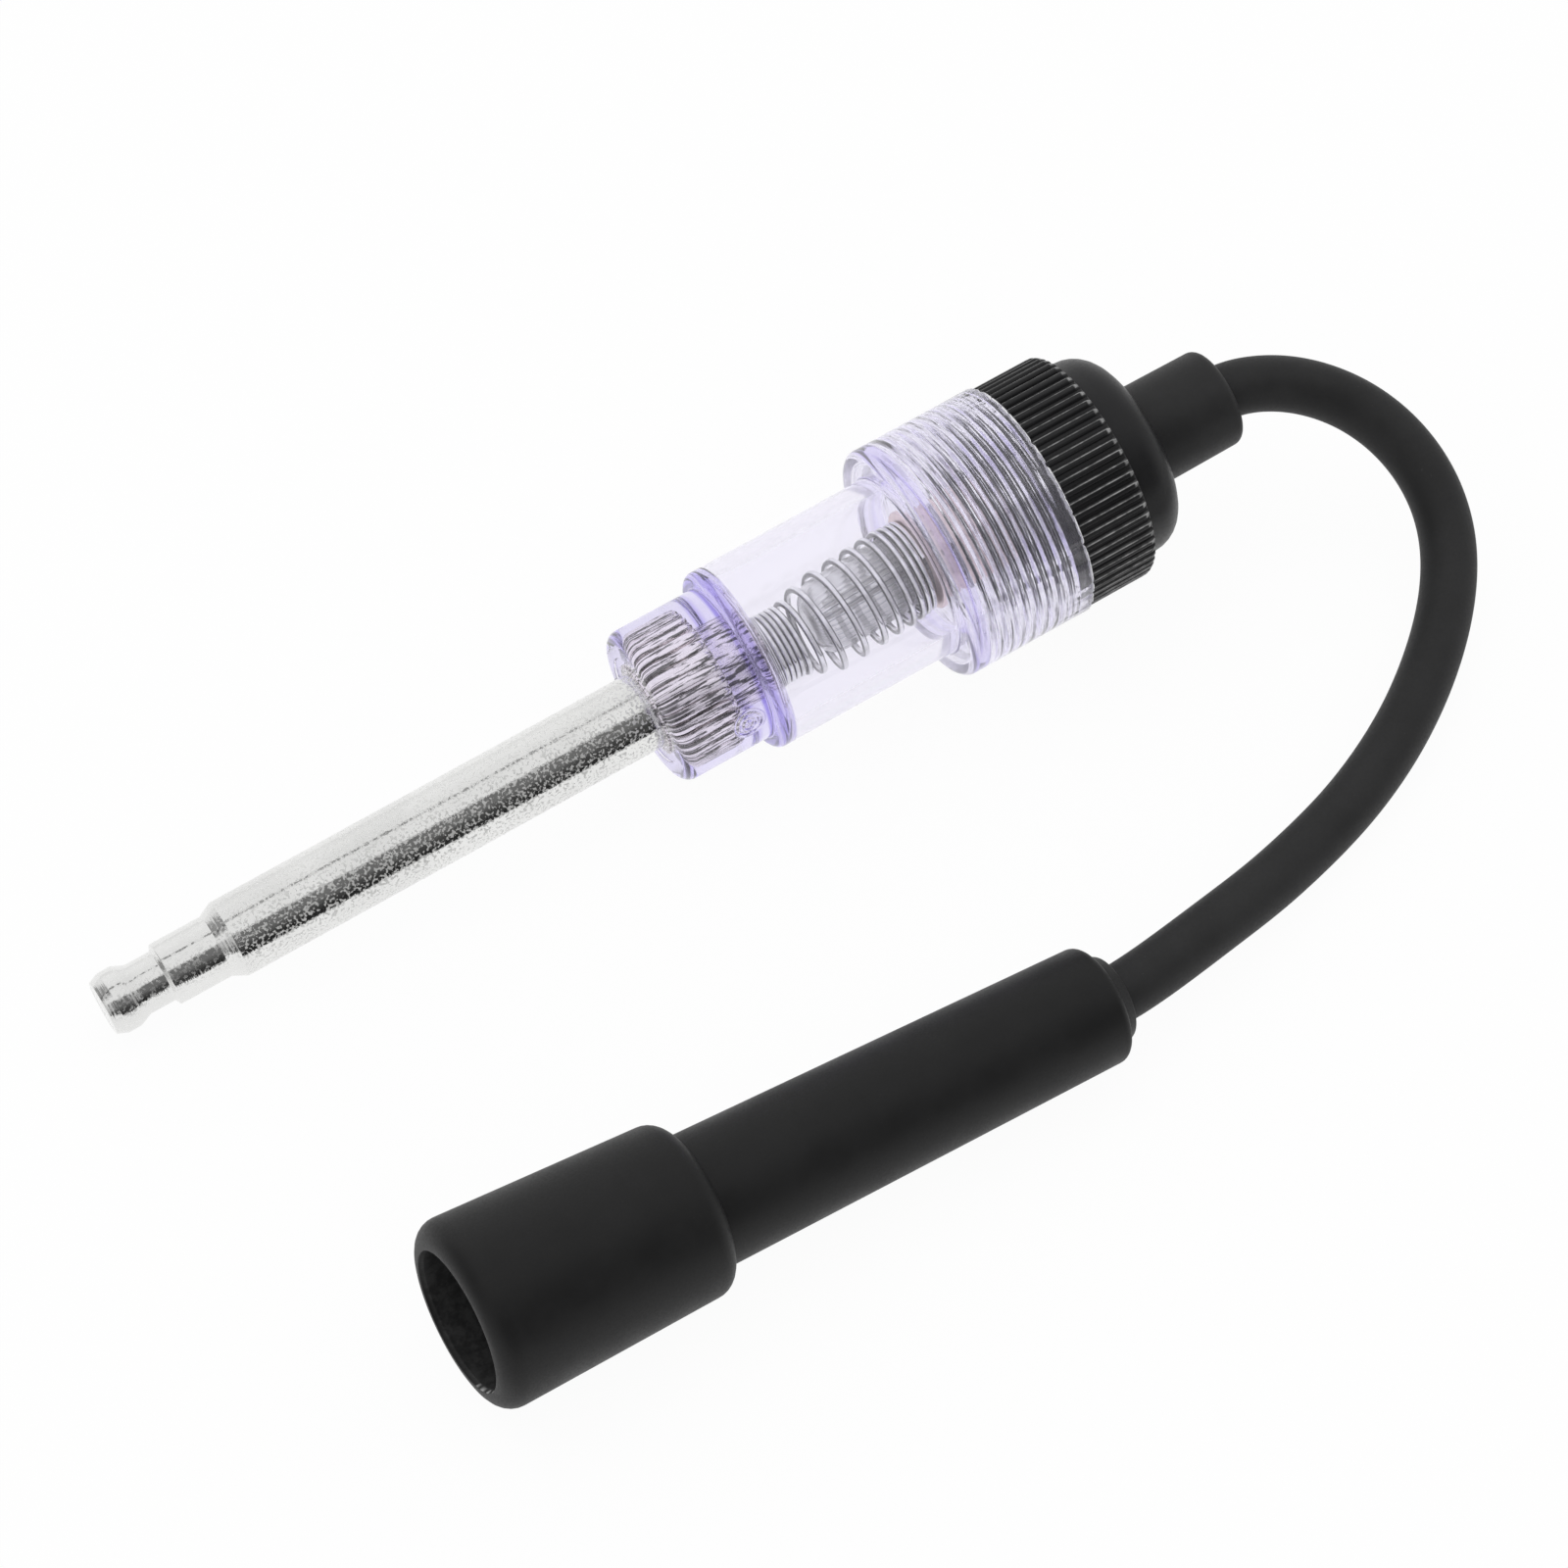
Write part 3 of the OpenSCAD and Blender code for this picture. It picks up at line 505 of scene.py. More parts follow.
def wire_tree():
    """Runs a round wire along a curve, closed at both ends."""
    nodes = Growth("Round wire", Line="Geometry", Diameter="Float", Sides="Int", Finish="Material")
    source = nodes.source
    section = nodes.add("GeometryNodeCurvePrimitiveCircle", {
        "Resolution": source["Sides"], "Radius": nodes.times(source["Diameter"], 0.5)}, mode="RADIUS")
    tube = nodes.add("GeometryNodeCurveToMesh", {
        "Curve": source["Line"], "Profile Curve": section.outputs[0], "Fill Caps": True})
    return nodes.end(nodes.add("GeometryNodeSetShadeSmooth", {"Geometry": tube.outputs[0], "Shade Smooth": True}))


def grow(name, data, tree, **values):
    """Mesh that a tree makes of some data, with the named inputs set."""
    host = bpy.data.objects.new(name, data)
    bpy.context.scene.collection.objects.link(host)
    modifier = host.modifiers.new("Grow", "NODES")
    modifier.node_group = tree
    for item in tree.interface.items_tree:
        if item.item_type == "SOCKET" and item.in_out == "INPUT" and item.name in values:
            modifier[item.identifier] = values[item.name]
    graph = bpy.context.evaluated_depsgraph_get()
    mesh = bpy.data.meshes.new_from_object(host.evaluated_get(graph))
    mesh.name = name
    host.modifiers.remove(modifier)
    bpy.data.objects.remove(host)
    if len(mesh.polygons) == 0:
        raise RuntimeError(f"the tree {tree.name} made nothing for {name}")
    return mesh


def outward(mesh):
    """Turns a closed mesh's faces outwards if its volume comes out negative."""
    volume = 0.0
    for face in mesh.polygons:
        spots = [mesh.vertices[i].co for i in face.vertices]
        for a, b in zip(spots[1:], spots[2:]):
            volume += spots[0].dot(a.cross(b))
    if volume < 0:
        mesh.flip_normals()
    return mesh


def put(name, mesh, finish, body, stands_for=()):
    """Adds a finished piece that rides on a body and stands for some nodes of the model."""
    made = bpy.data.objects.new(name, mesh)
    bpy.context.scene.collection.objects.link(made)
    mesh.materials.clear()
    mesh.materials.append(finish)
    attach(made, body)
    if stands_for:
        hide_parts(*stands_for)
    return made


def put_ring(name, shape, count, unevenness, seed, finish, body):
    """Adds a ring of copies of a shape round the tool, such as ribs, as one piece."""
    mesh = grow(name, shape, ring_tree(), Count=count, Unevenness=unevenness, Seed=seed, Finish=finish)
    mesh.transform(TOOL)
    put(name, mesh, finish, body)


def put_wire(name, points, diameter, sides, finish, body, stands_for):
    """Adds a round wire through points as one piece."""
    mesh = grow(name, line(name + "_line", points), wire_tree(), Diameter=diameter, Sides=sides, Finish=finish)
    return put(name, outward(mesh), finish, body, stands_for)


def dress(finish, *nodes):
    """Gives nodes of the model, which stay as they are, a finish."""
    for name in nodes:
        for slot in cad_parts[name].material_slots:
            slot.material = finish


# Finishes

class Finish(Nodes):
    """A material in the making: its tree, its shader and ways to fill them. Sizes are in metres."""

    # The tool's tip in coordinates that lie along the tool
    tip = (0.0614166, 0, -0.0094174)
    # Light that has been mirrored more often than this inside clear plastic or glass passes straight out
    most_mirrored = 2.5

    def __init__(self, name):
        self.material = bpy.data.materials.new(name)
        self.material.use_nodes = True
        super().__init__(self.material.node_tree)
        self.shader = self.tree.nodes["Principled BSDF"]
        source = self.add("ShaderNodeTexCoord")
        self.object = source.outputs["Object"]
        self.map = source.outputs["UV"]
        self.facing = source.outputs["Normal"]

    def mapped(self, vector, scale=(1, 1, 1), turn=(0, 0, 0), shift=(0, 0, 0)):
        return self.add("ShaderNodeMapping", {"Vector": vector, "Scale": scale, "Rotation": turn,
                                              "Location": shift}).outputs[0]

    def along_tool(self):
        """Coordinates with X along the tool from its tip, and the axis at Y and Z zero."""
        return self.mapped(self.object, turn=(0, math.radians(TOOL_TILT), 0), shift=self.tip)

    def noise(self, vector, grain, detail=3.0, roughness=0.5):
        return self.add("ShaderNodeTexNoise", {"Vector": vector, "Scale": 1 / grain, "Detail": detail,
                                               "Roughness": roughness}).outputs[0]

    def blend(self, amount, a, b):
        a, b = [(*x, 1.0) if isinstance(x, tuple) else x for x in (a, b)]
        return self.add("ShaderNodeMix", {0: amount, 6: a, 7: b}, data_type="RGBA").outputs[2]

    def bump(self, height, depth, normal=None):
        values = {"Height": height, "Distance": depth, "Strength": 1.0}
        if normal is not None:
            values["Normal"] = normal
        return self.add("ShaderNodeBump", values).outputs[0]

    def set(self, **values):
        for key, value in values.items():
            target = self.shader.inputs[key.replace("_", " ")]
            if isinstance(value, bpy.types.NodeSocket):
                self.tree.links.new(value, target)
            else:
                target.default_value = (*value, 1.0) if isinstance(value, tuple) else value
        return self

    def end(self, output, shader):
        self.tree.links.new(shader.outputs[0], self.tree.nodes["Material Output"].inputs[output])

    def clear(self, tint, depth):
        """Makes the finish see-through, with a tint in its depth, and lets light through to what lies behind."""
        self.set(Transmission_Weight=1.0)
        path = self.add("ShaderNodeLightPath").outputs
        passing = self.most(path["Is Shadow Ray"], self.math("GREATER_THAN", path["Glossy Depth"], self.most_mirrored))
        straight = self.add("ShaderNodeBsdfTransparent")
        self.end("Surface", self.add("ShaderNodeMixShader", {0: passing, 1: self.shader.outputs[0],
                                                             2: straight.outputs[0]}))
        self.end("Volume", self.add("ShaderNodeVolumeAbsorption", {"Color": (*tint, 1.0), "Density": depth}))
        return self


def scaled(tone, factor):
    return tuple(x * factor for x in tone)


def plated_steel(settings):
    """Bright speckled plating with turned rings at the tip, and streaked brownish metal inside the plastic."""
    finish = Finish("plated steel")
    grid = finish.along_tool()
    place = finish.parts(grid)[0]
    grain = finish.noise(finish.object, settings.grain, 2.0, 0.6)
    specks = finish.range(grain, 0.52, 0.57)
    rings = finish.noise(finish.mapped(grid, scale=(1, 0.02, 0.02)), 0.0002, 2.0)
    streaks = finish.noise(finish.mapped(grid, scale=(0.08, 1, 1)), 0.00022, 3.0, 0.6)
    tip = finish.range(place, 0.0125, 0.0145, 1.0, 0.04)
    buried = finish.range(place, 0.0586, 0.059)
    bare = finish.less(1.0, finish.most(finish.times(buried, 0.85), finish.times(tip, 0.5)))
    clouds = finish.noise(finish.object, 0.006, 3.0)
    normal = finish.bump(finish.times(grain, bare), 1.4e-5)
    normal = finish.bump(finish.times(rings, tip), 3e-5, normal)
    normal = finish.bump(finish.times(streaks, buried), 3e-5, normal)
    tone, collar = tuple(settings.plating), tuple(settings.buried)
    bright = finish.blend(finish.range(clouds, 0.35, 0.7), tone, scaled(tone, 0.93))
    bright = finish.blend(finish.times(specks, bare), bright, (0.92, 0.92, 0.91))
    dull = finish.blend(finish.range(streaks, 0.45, 0.51), scaled(collar, 0.16), collar)
    rough = finish.plus(finish.times(finish.range(specks, 0.0, 1.0, 0.0, 0.65), bare),
                        finish.range(buried, 0.0, 1.0, 0.08, 0.22))
    return finish.set(Base_Color=finish.blend(buried, bright, dull), Metallic=1.0, Normal=normal,
                      Roughness=rough).material


# Place of the gate mark on the housing's neck, along the tool and from its axis, in metres
GATE = (0.066, -0.0079, 0.0014)
# Where the clear plastic changes along the tool, in metres: start, fully there, fading and end
ROOT = (0.0677, 0.0681, 0.0689, 0.0697)
CHAMBER_CORNER = (0.0684, 0.0685, 0.0688, 0.0692)
WIDE_CORNER = (0.0884, 0.0885, 0.0888, 0.0893)
WIDE_STEP = (0.0886, 0.089, 0.0899, 0.0904)
THREAD = (0.0903, 0.0907, 0.1017, 0.1021)
WORN_EDGE = (0.1023, 0.1024)


def clear_plastic(settings):
    """Clear moulded plastic, violet in its depth and at its root, with a gate mark and a worn white rear edge."""
    finish = Finish("clear plastic")
    grid = finish.along_tool()
    place = finish.parts(grid)[0]
    flow = finish.noise(finish.mapped(grid, scale=(0.35, 1, 1)), 0.005, 2.0)
    ripple = finish.noise(finish.object, 0.0011, 2.0)
    away = finish.add("ShaderNodeVectorMath", {0: grid, 1: GATE}, operation="DISTANCE").outputs["Value"]
    circles = finish.math("SINE", finish.times(away, math.tau / 0.00065))
    gate = finish.times(circles, finish.range(away, 0.0015, 0.0018, 1.0, 0.0))
    thread = finish.window(place, *THREAD)
    cuts = finish.noise(finish.mapped(grid, scale=(1, 0.03, 0.03)), 0.00028, 2.0)
    normal = finish.bump(flow, 1e-5)
    normal = finish.bump(ripple, 2.5e-6, normal)
    normal = finish.bump(gate, 1.1e-4, normal)
    normal = finish.bump(finish.times(cuts, thread), 4e-5, normal)
    corners = finish.plus(finish.window(place, *CHAMBER_CORNER), finish.window(place, *WIDE_CORNER))
    frayed = finish.times(finish.noise(finish.object, 0.0012, 3.0), 0.0006)
    worn = finish.range(finish.plus(place, frayed), *WORN_EDGE)
    tinted = finish.most(finish.window(place, *ROOT), finish.times(finish.window(place, *WIDE_STEP), 0.3))
    shade = finish.blend(thread, (0.985, 0.98, 1.0), (0.95, 0.94, 1.0))
    shade = finish.blend(tinted, shade, tuple(settings.root))
    rough = finish.plus(finish.range(ripple, 0.3, 0.7, 0.0, 0.03), finish.times(worn, 0.35))
    finish.set(Base_Color=finish.blend(worn, shade, (0.95, 0.95, 0.97)), IOR=1.5, Roughness=rough, Normal=normal)
    finish.clear(tuple(settings.tint), settings.depth)
    haze = finish.plus(finish.times(corners, settings.corner), settings.haze)
    haze = finish.most(haze, finish.times(worn, 0.75))
    return finish.set(Transmission_Weight=finish.less(1.0, haze)).material


def lamp_glass(flutes):
    """Clear lamp glass, a little milky, with painted shade in fine dark lines along its flutes, and some waviness."""
    finish = Finish("lamp glass")
    wave = finish.noise(finish.object, 0.0016, 2.0)
    lines = finish.math("SINE", finish.times(finish.parts(finish.map)[0], math.tau * flutes))
    # Painted shade: the glass is darker in a thin line at each flute, where the flutes' refraction would darken it
    painted_flute_shade = finish.range(lines, 0.75, 1.0)
    finish.set(Base_Color=finish.blend(painted_flute_shade, (1.0, 1.0, 1.0), (0.5, 0.51, 0.55)), IOR=1.5,
               Roughness=finish.range(wave, 0.3, 0.7, 0.0, 0.04), Normal=finish.bump(wave, 1.2e-5))
    finish.clear((0.5, 0.55, 0.58), 8.0)
    return finish.set(Transmission_Weight=0.8).material


def drawn_wire(name, tone, grain=0.00035, low=0.2, high=0.38, sides=0.0):
    """Drawn wire or plain steel with fine lines and faint stains, and any painted shade where it faces along the tool,
    as on the sides of a coil's turns that face each other.
    """
    finish = Finish(name)
    lines = finish.noise(finish.object, grain, 3.0, 0.6)
    stains = finish.noise(finish.object, 0.0024, 3.0)
    shade = finish.blend(finish.range(stains, 0.4, 0.72), tone, scaled(tone, 0.72))
    # Painted shade: where the wire faces along the tool, between the turns of a coil, it is darker
    if sides > 0:
        ahead = TOOL.to_3x3().col[2].normalized()
        facing = finish.add("ShaderNodeVectorMath", {0: finish.facing, 1: ahead}, operation="DOT_PRODUCT")
        along = finish.range(finish.math("ABSOLUTE", facing.outputs["Value"]), 0.5, 0.9, 0.0, sides)
        shade = finish.blend(along, shade, scaled(tone, 0.1))
    return finish.set(Base_Color=shade, Metallic=1.0, Roughness=finish.range(lines, 0.3, 0.7, low, high),
                      Normal=finish.bump(lines, 4e-6)).material


def lamp_brass(settings):
    """Pinkish brown pressed metal with rows of small punched dimples."""
    finish = Finish("lamp base metal")
    turn, place, _ = finish.parts(finish.map)

    def aside(value, rate, cell):
        """Distance from the middle of the nearest of a row of cells, in millimetres."""
        return finish.times(finish.less(finish.math("FRACT", finish.times(value, rate)), 0.5), cell)

    across, along = aside(turn, 14.0, 2.06), aside(place, 0.55, 1.82)
    away = finish.math("SQRT", finish.plus(finish.times(across, across), finish.times(along, along)))
    stains = finish.noise(finish.object, 0.0014, 4.0, 0.6)
    grain = finish.noise(finish.object, 0.0002, 2.0)
    normal = finish.bump(grain, 3e-6, finish.bump(finish.range(away, 0.18, 0.34), 9e-5))
    tone = tuple(settings.brass)
    shade = finish.blend(finish.range(stains, 0.4, 0.68), tone, scaled(tone, 0.88))
    return finish.set(Base_Color=shade, Metallic=1.0, Roughness=finish.range(grain, 0.3, 0.7, 0.4, 0.55),
                      Normal=normal).material


def dark_moulding(name, tone, rough, grain, depth, level, edges=0.0):
    """Black plastic or rubber: a fine moulded grain, cloudy sheen, a little dust, and marked places lightened, partly
    as wear and partly as painted highlight and painted light.
    """
    finish = Finish(name)
    fine = finish.noise(finish.object, grain, 3.0, 0.6)
    clouds = finish.noise(finish.object, 0.007, 4.0, 0.6)
    dust = finish.range(finish.noise(finish.object, 0.0005, 2.0, 0.7), 0.7, 0.8)
    shade = finish.blend(finish.range(clouds, 0.35, 0.7), tone, scaled(tone, 1.35))
    shade = finish.blend(finish.times(dust, 0.5), shade, scaled(tone, 2.6))
    # Marked places are lightened: a painted highlight on the ribs' edges, painted light in the boot's bore, painted
    # glints on its flash, and some lightening of the ribs' tops
    if edges > 0:
        wear_and_painted_light = finish.add("ShaderNodeAttribute", attribute_name="wear_and_painted_light").outputs["Fac"]
        patchy = finish.range(finish.noise(finish.object, 0.0012, 3.0, 0.7), 0.35, 0.65, 0.3, 1.0)
        shade = finish.blend(finish.times(wear_and_painted_light, patchy), shade, (edges, edges, edges))
    rough_here = finish.plus(finish.range(fine, 0.3, 0.7, rough - 0.05, rough + 0.05),
                             finish.range(clouds, 0.3, 0.7, -0.04, 0.04))
    return finish.set(Base_Color=shade, Roughness=rough_here, Normal=finish.bump(fine, depth),
                      Specular_IOR_Level=level).material


# Pieces

def aimed(scene, data, place, target):
    """Adds a camera or a light at a place, turned to a target. Both are in metres."""
    made = bpy.data.objects.new(data.name, data)
    made.location = place
    made.rotation_euler = (Vector(target) - made.location).to_track_quat("-Z", "Y").to_euler()
    scene.collection.objects.link(made)
    return made


class TESTER_OT_stage(bpy.types.Operator):
    """Sets up the camera, the floor, the soft light all round and the softbox"""
    bl_idname = "tester.stage"
    bl_label = "Stage"

    def execute(self, context):
        settings = context.scene.tester.stage
        scene = context.scene
        scene.view_settings.view_transform = "Standard"
        lens = bpy.data.cameras.new("photo_camera")
        lens.lens = 112.5
        lens.sensor_width = 36
        lens.clip_start = 0.02
        lens.clip_end = 20
        scene.camera = aimed(scene, lens, (-0.1361, -0.24674, 0.38612), (0.00677, -0.00872, 0))
        self.floor(scene, settings)
        self.sky(scene, settings)
        box = bpy.data.lights.new("softbox", "AREA")
        box.shape = "RECTANGLE"
        box.size = 0.9
        box.size_y = 0.5
        box.energy = settings.softbox
        lamp = aimed(scene, box, (-0.05, 0.28, 0.85), (0, -0.02, 0))
        lamp.visible_glossy = False
        lamp.visible_transmission = False
        return {"FINISHED"}

    def floor(self, scene, settings):
        """A wide pale floor: seen directly or through the clear plastic it is white, with the object's shadow on it."""
        finish = Finish("pale floor")
        clouds = finish.noise(finish.object, 0.2, 2.0)
        tone = tuple(settings.floor)
        finish.set(Base_Color=finish.blend(clouds, tone, scaled(tone, 0.985)), Roughness=0.9, Specular_IOR_Level=0.1)
        path = finish.add("ShaderNodeLightPath").outputs
        seen = finish.most(path["Is Camera Ray"], finish.most(path["Is Glossy Ray"], path["Is Transmission Ray"]))
        glow = finish.add("ShaderNodeEmission", {"Color": (1, 1, 1, 1), "Strength": 1.0})
        finish.end("Surface", finish.add("ShaderNodeMixShader", {0: finish.times(seen, 0.95),
                                                                 1: finish.shader.outputs[0], 2: glow.outputs[0]}))
        mesh = bpy.data.meshes.new("floor")
        far = 3
        mesh.from_pydata([(-far, -far, 0), (far, -far, 0), (far, far, 0), (-far, far, 0)], [], [(0, 1, 2, 3)])
        mesh.materials.append(finish.material)
        made = bpy.data.objects.new("floor", mesh)
        scene.collection.objects.link(made)

    def sky(self, scene, settings):
        """Soft light from all round. What mirrors it also shows a dark gap in front, a seam and a dark end."""
        world = bpy.data.worlds.new("studio")
        world.use_nodes = True
        scene.world = world
        nodes = Nodes(world.node_tree)
        x, y, z = nodes.parts(nodes.add("ShaderNodeTexCoord").outputs["Generated"])
        path = nodes.add("ShaderNodeLightPath").outputs
        bounced = nodes.math("MINIMUM", path["Glossy Depth"], 1.0)
        # What the plastic's inner faces mirror shows the dark places faintly
        mirrored = nodes.plus(path["Is Glossy Ray"],
                              nodes.times(path["Is Transmission Ray"], nodes.times(bounced, 0.25)))
        # Degrees round the tool, from straight up towards the camera's side
        around = nodes.times(nodes.math("ARCTAN2", nodes.times(y, -1.0), z), math.degrees(1))
        gap = nodes.window(around, 26, 33, 93, 117)
        gap = nodes.times(gap, nodes.range(nodes.math("ABSOLUTE", x), 0.6, 0.9, 1.0, 0.0))
        gap = nodes.times(gap, nodes.range(around, 50, 74, 0.8, 0.93))
        gap = nodes.times(gap, nodes.range(around, 80, 92, 1.0, 0.88))
        seam = nodes.range(nodes.math("ABSOLUTE", nodes.plus(around, 16.0)), 1.5, 4.0, 0.7, 0.0)
        end = nodes.times(nodes.range(x, -0.62, -0.45, 0.65, 0.0), nodes.range(around, -5, 8, 1.0, 0.0))
        light = nodes.plus(nodes.range(z, -0.1, 0.9, 0.82, 1.05), nodes.range(around, -75, -30, 0.18, 0.0))
        for shade in (gap, seam, end):
            light = nodes.times(light, nodes.less(1.0, nodes.times(shade, mirrored)))
        # The camera sees plain white, and so it does through the plastic, less what was mirrored on the way
        straight = nodes.less(1.0, nodes.times(bounced, 0.3))
        seen = nodes.most(path["Is Camera Ray"], nodes.times(path["Is Transmission Ray"], straight))
        room = nodes.tree.nodes["Background"]
        room.inputs["Color"].default_value = (1, 1, 1, 1)
        nodes.tree.links.new(nodes.times(light, settings.sky), room.inputs["Strength"])
        white = nodes.add("ShaderNodeBackground", {"Color": (1, 1, 1, 1), "Strength": 1.0})
        mixed = nodes.add("ShaderNodeMixShader", {0: seen, 1: room.outputs[0], 2: white.outputs[0]})
        nodes.tree.links.new(mixed.outputs[0], nodes.tree.nodes["World Output"].inputs["Surface"])


class TESTER_OT_boot(bpy.types.Operator):
    """Makes the rubber plug boot and finishes the metal terminal inside it"""
    bl_idname = "tester.boot"
    bl_label = "Plug boot"

    # Places along the boot from its mouth, in millimetres
    bore_end = 21.6
    shoulder = 22.5
    seat = 43.6
    # How much narrower the boot gets from its mouth to its shoulder, and from there to its lip, in radius
    mouth_taper = 0.8
    tail_taper = 0.65
    # Radius of the wide room for the terminal
    room = 4.65
    # The flash, with its painted glints, is between these turns round the bore, in degrees
    flash_turns = (272, 330)

    def execute(self, context):
        settings = context.scene.tester.lead
        mouth, bore, tail, lead = radii(settings, "mouth", "bore", "tail", "lead")
        lead += FIT
        neck = mouth - self.mouth_taper
        # The flash setting sets how light the marks are: painted glints on the flash and painted light in the bore
        rubber = dark_moulding("boot rubber", scaled(tuple(settings.rubber), 0.8), rough=0.5, grain=0.00022, depth=5e-6,
                               level=0.23, edges=settings.flash)
        front = rounded([
            (bore, self.bore_end, 0), (bore, 0.5, 0.2), (bore + 0.15, 0, 0.1), (mouth, 0, 2.1),
            (neck, self.shoulder, 0)], 7)
        shoulder = arc(tail, self.shoulder, neck - tail, 0, 90)
        rear = rounded([
            (tail, 24.5, 0), (tail - self.tail_taper, 68.35, 1.3), (4.75, 68.4, 0.3), (4.05, 69.75, 0.4),
            (lead, 69.8, 0), (lead, self.seat, 0), (self.room, self.seat, 0), (self.room, self.bore_end, 0)], 7)
        mesh = turned("boot_shell", split([*front[:-1], *shoulder, *rear[1:]], 2.5), BOOT, 240, closed=True)
        self.paint_bore_light_and_glints(mesh, bore)
        put("boot_shell", mesh, rubber, "cap", ["plug_boot"])
        dress(drawn_wire("terminal plating", (0.74, 0.75, 0.77)), "boot_terminal")
        dress(drawn_wire("snap ring wire", (0.6, 0.6, 0.61)), "snap_ring")
        return {"FINISHED"}

    def paint_bore_light_and_glints(self, mesh, bore):
        """Marks painted light that lightens the whole inside of the bore a little, and painted glints in patches on the
        shreds of moulding flash low on its edge.
        """
        layer = mesh.attributes.new("wear_and_painted_light", "FLOAT", "POINT")
        unlaid = BOOT.inverted()
        low, high = self.flash_turns
        for vertex, mark in zip(mesh.vertices, layer.data):
            x, y, place = unlaid @ vertex.co
            radius = math.hypot(x, y)
            # Painted light: the inside of the bore is lightened a little
            if 0.4 < place < 22 and radius < bore + 0.01:
                mark.value = 0.05
            # Painted glints: pale patches on the flash low on the bore's edge
            elif place < 0.12 and radius < bore + 0.16 and low < math.degrees(math.atan2(y, x)) % 360 < high:
                mark.value = min(1.0, max(0.0, 0.35 + 2.5 * noise.noise(Vector((x, y, 0.0)) * 1.3)))


class TESTER_OT_lead(bpy.types.Operator):
    """Makes the short lead between the cap's sleeve and the boot, and finishes its ends inside them"""
    bl_idname = "tester.lead"
    bl_label = "Lead"

    def execute(self, context):
        settings = context.scene.tester.lead
        rubber = dark_moulding("lead rubber", scaled(tuple(settings.rubber), 1.5), rough=0.56, grain=0.0003,
                               depth=3.5e-6, level=0.23)
        path = relaxed(through(LEAD_ROUTE, 12), 60)
        for point in path:
            point.z = max(point.z, settings.lead / 2)
        lead = put_wire("ht_lead_free", path, settings.lead, 40, rubber, "cap", ["ht_lead"])
        dress(rubber, "lead_in_cap", "lead_in_boot")
        dress(drawn_wire("copper core", (0.72, 0.4, 0.26)), "core_in_cap", "core_in_boot")
        return {"FINISHED"}


class TESTER_OT_rod(bpy.types.Operator):
    """Makes the plated terminal rod and the knurls on its moulded-in collar"""
    bl_idname = "tester.rod"
    bl_label = "Terminal rod"

    # Height of the knurls, radius of the boss behind the collar, where it ends, and radius of the spring's stud
    knurl_height = 0.4
    boss, boss_end, stud = 3, 69.85, 2.2
    # Sections of a knurl: place along the tool, and its width and height as shares of the full ones
    knurl_sections = ((59.95, 0.94, 0.7), (60.12, 1, 1), (64.3, 1, 1), (64.9, 0.94, 1), (65.4, 0.8, 0.97),
                      (65.75, 0.58, 0.9), (65.97, 0.32, 0.75), (66.08, 0.12, 0.5))

    def execute(self, context):
        settings = context.scene.tester.rod
        rod, terminal, head, groove, collar = radii(settings, "rod", "terminal", "head", "groove", "collar")
        foot = collar - self.knurl_height
        plating = plated_steel(settings)
        outline = rounded([
            (0, 0, 0), (2.7, 0, 0.12), (head, 1.1, 0.3), (head, 2.4, 0.35), (groove, 3.7, 0.5), (groove, 6.3, 0.12),
            (terminal, 6.6, 0.12), (terminal, 12, 0.1), (rod, 13.4, 0.06), (rod, COLLAR_FRONT, 0),
            (foot, COLLAR_FRONT, 0.2), (foot, COLLAR_REAR, 0.2), (self.boss, COLLAR_REAR, 0.1),
            (self.boss, self.boss_end, 0.1), (self.stud, self.boss_end, 0), (self.stud, STUD_END, 0.4),
            (0, STUD_END, 0)], 4)
        put("rod_body", turned("rod_body", split(outline, 4), TOOL, 128), plating, "housing",
            ["terminal_rod"])
        half = 0.4 * math.tau * collar / settings.knurls
        put_ring("collar_knurls", self.knurl(foot, collar, half), settings.knurls, 0.004, 3, plating, "housing")
        return {"FINISHED"}

    def knurl(self, foot, top, half):
        """One flat-topped knurl whose rear end is rounded off."""
        sections = []
        for place, width, height in self.knurl_sections:
            side = half * width
            rise = foot + (top - foot) * height
            edge = min(0.1, 0.4 * side)
            flank = [(foot - 0.3, side), (foot, side), (rise - 0.1, side - 0.02), (rise - 0.03, side - 0.4 * edge),
                     (rise, side - edge)]
            sections.append([*((radius, aside, place) for radius, aside in flank), (rise, 0, place),
                             *((radius, -aside, place) for radius, aside in reversed(flank))])
        return outward(bar("knurl", sections))


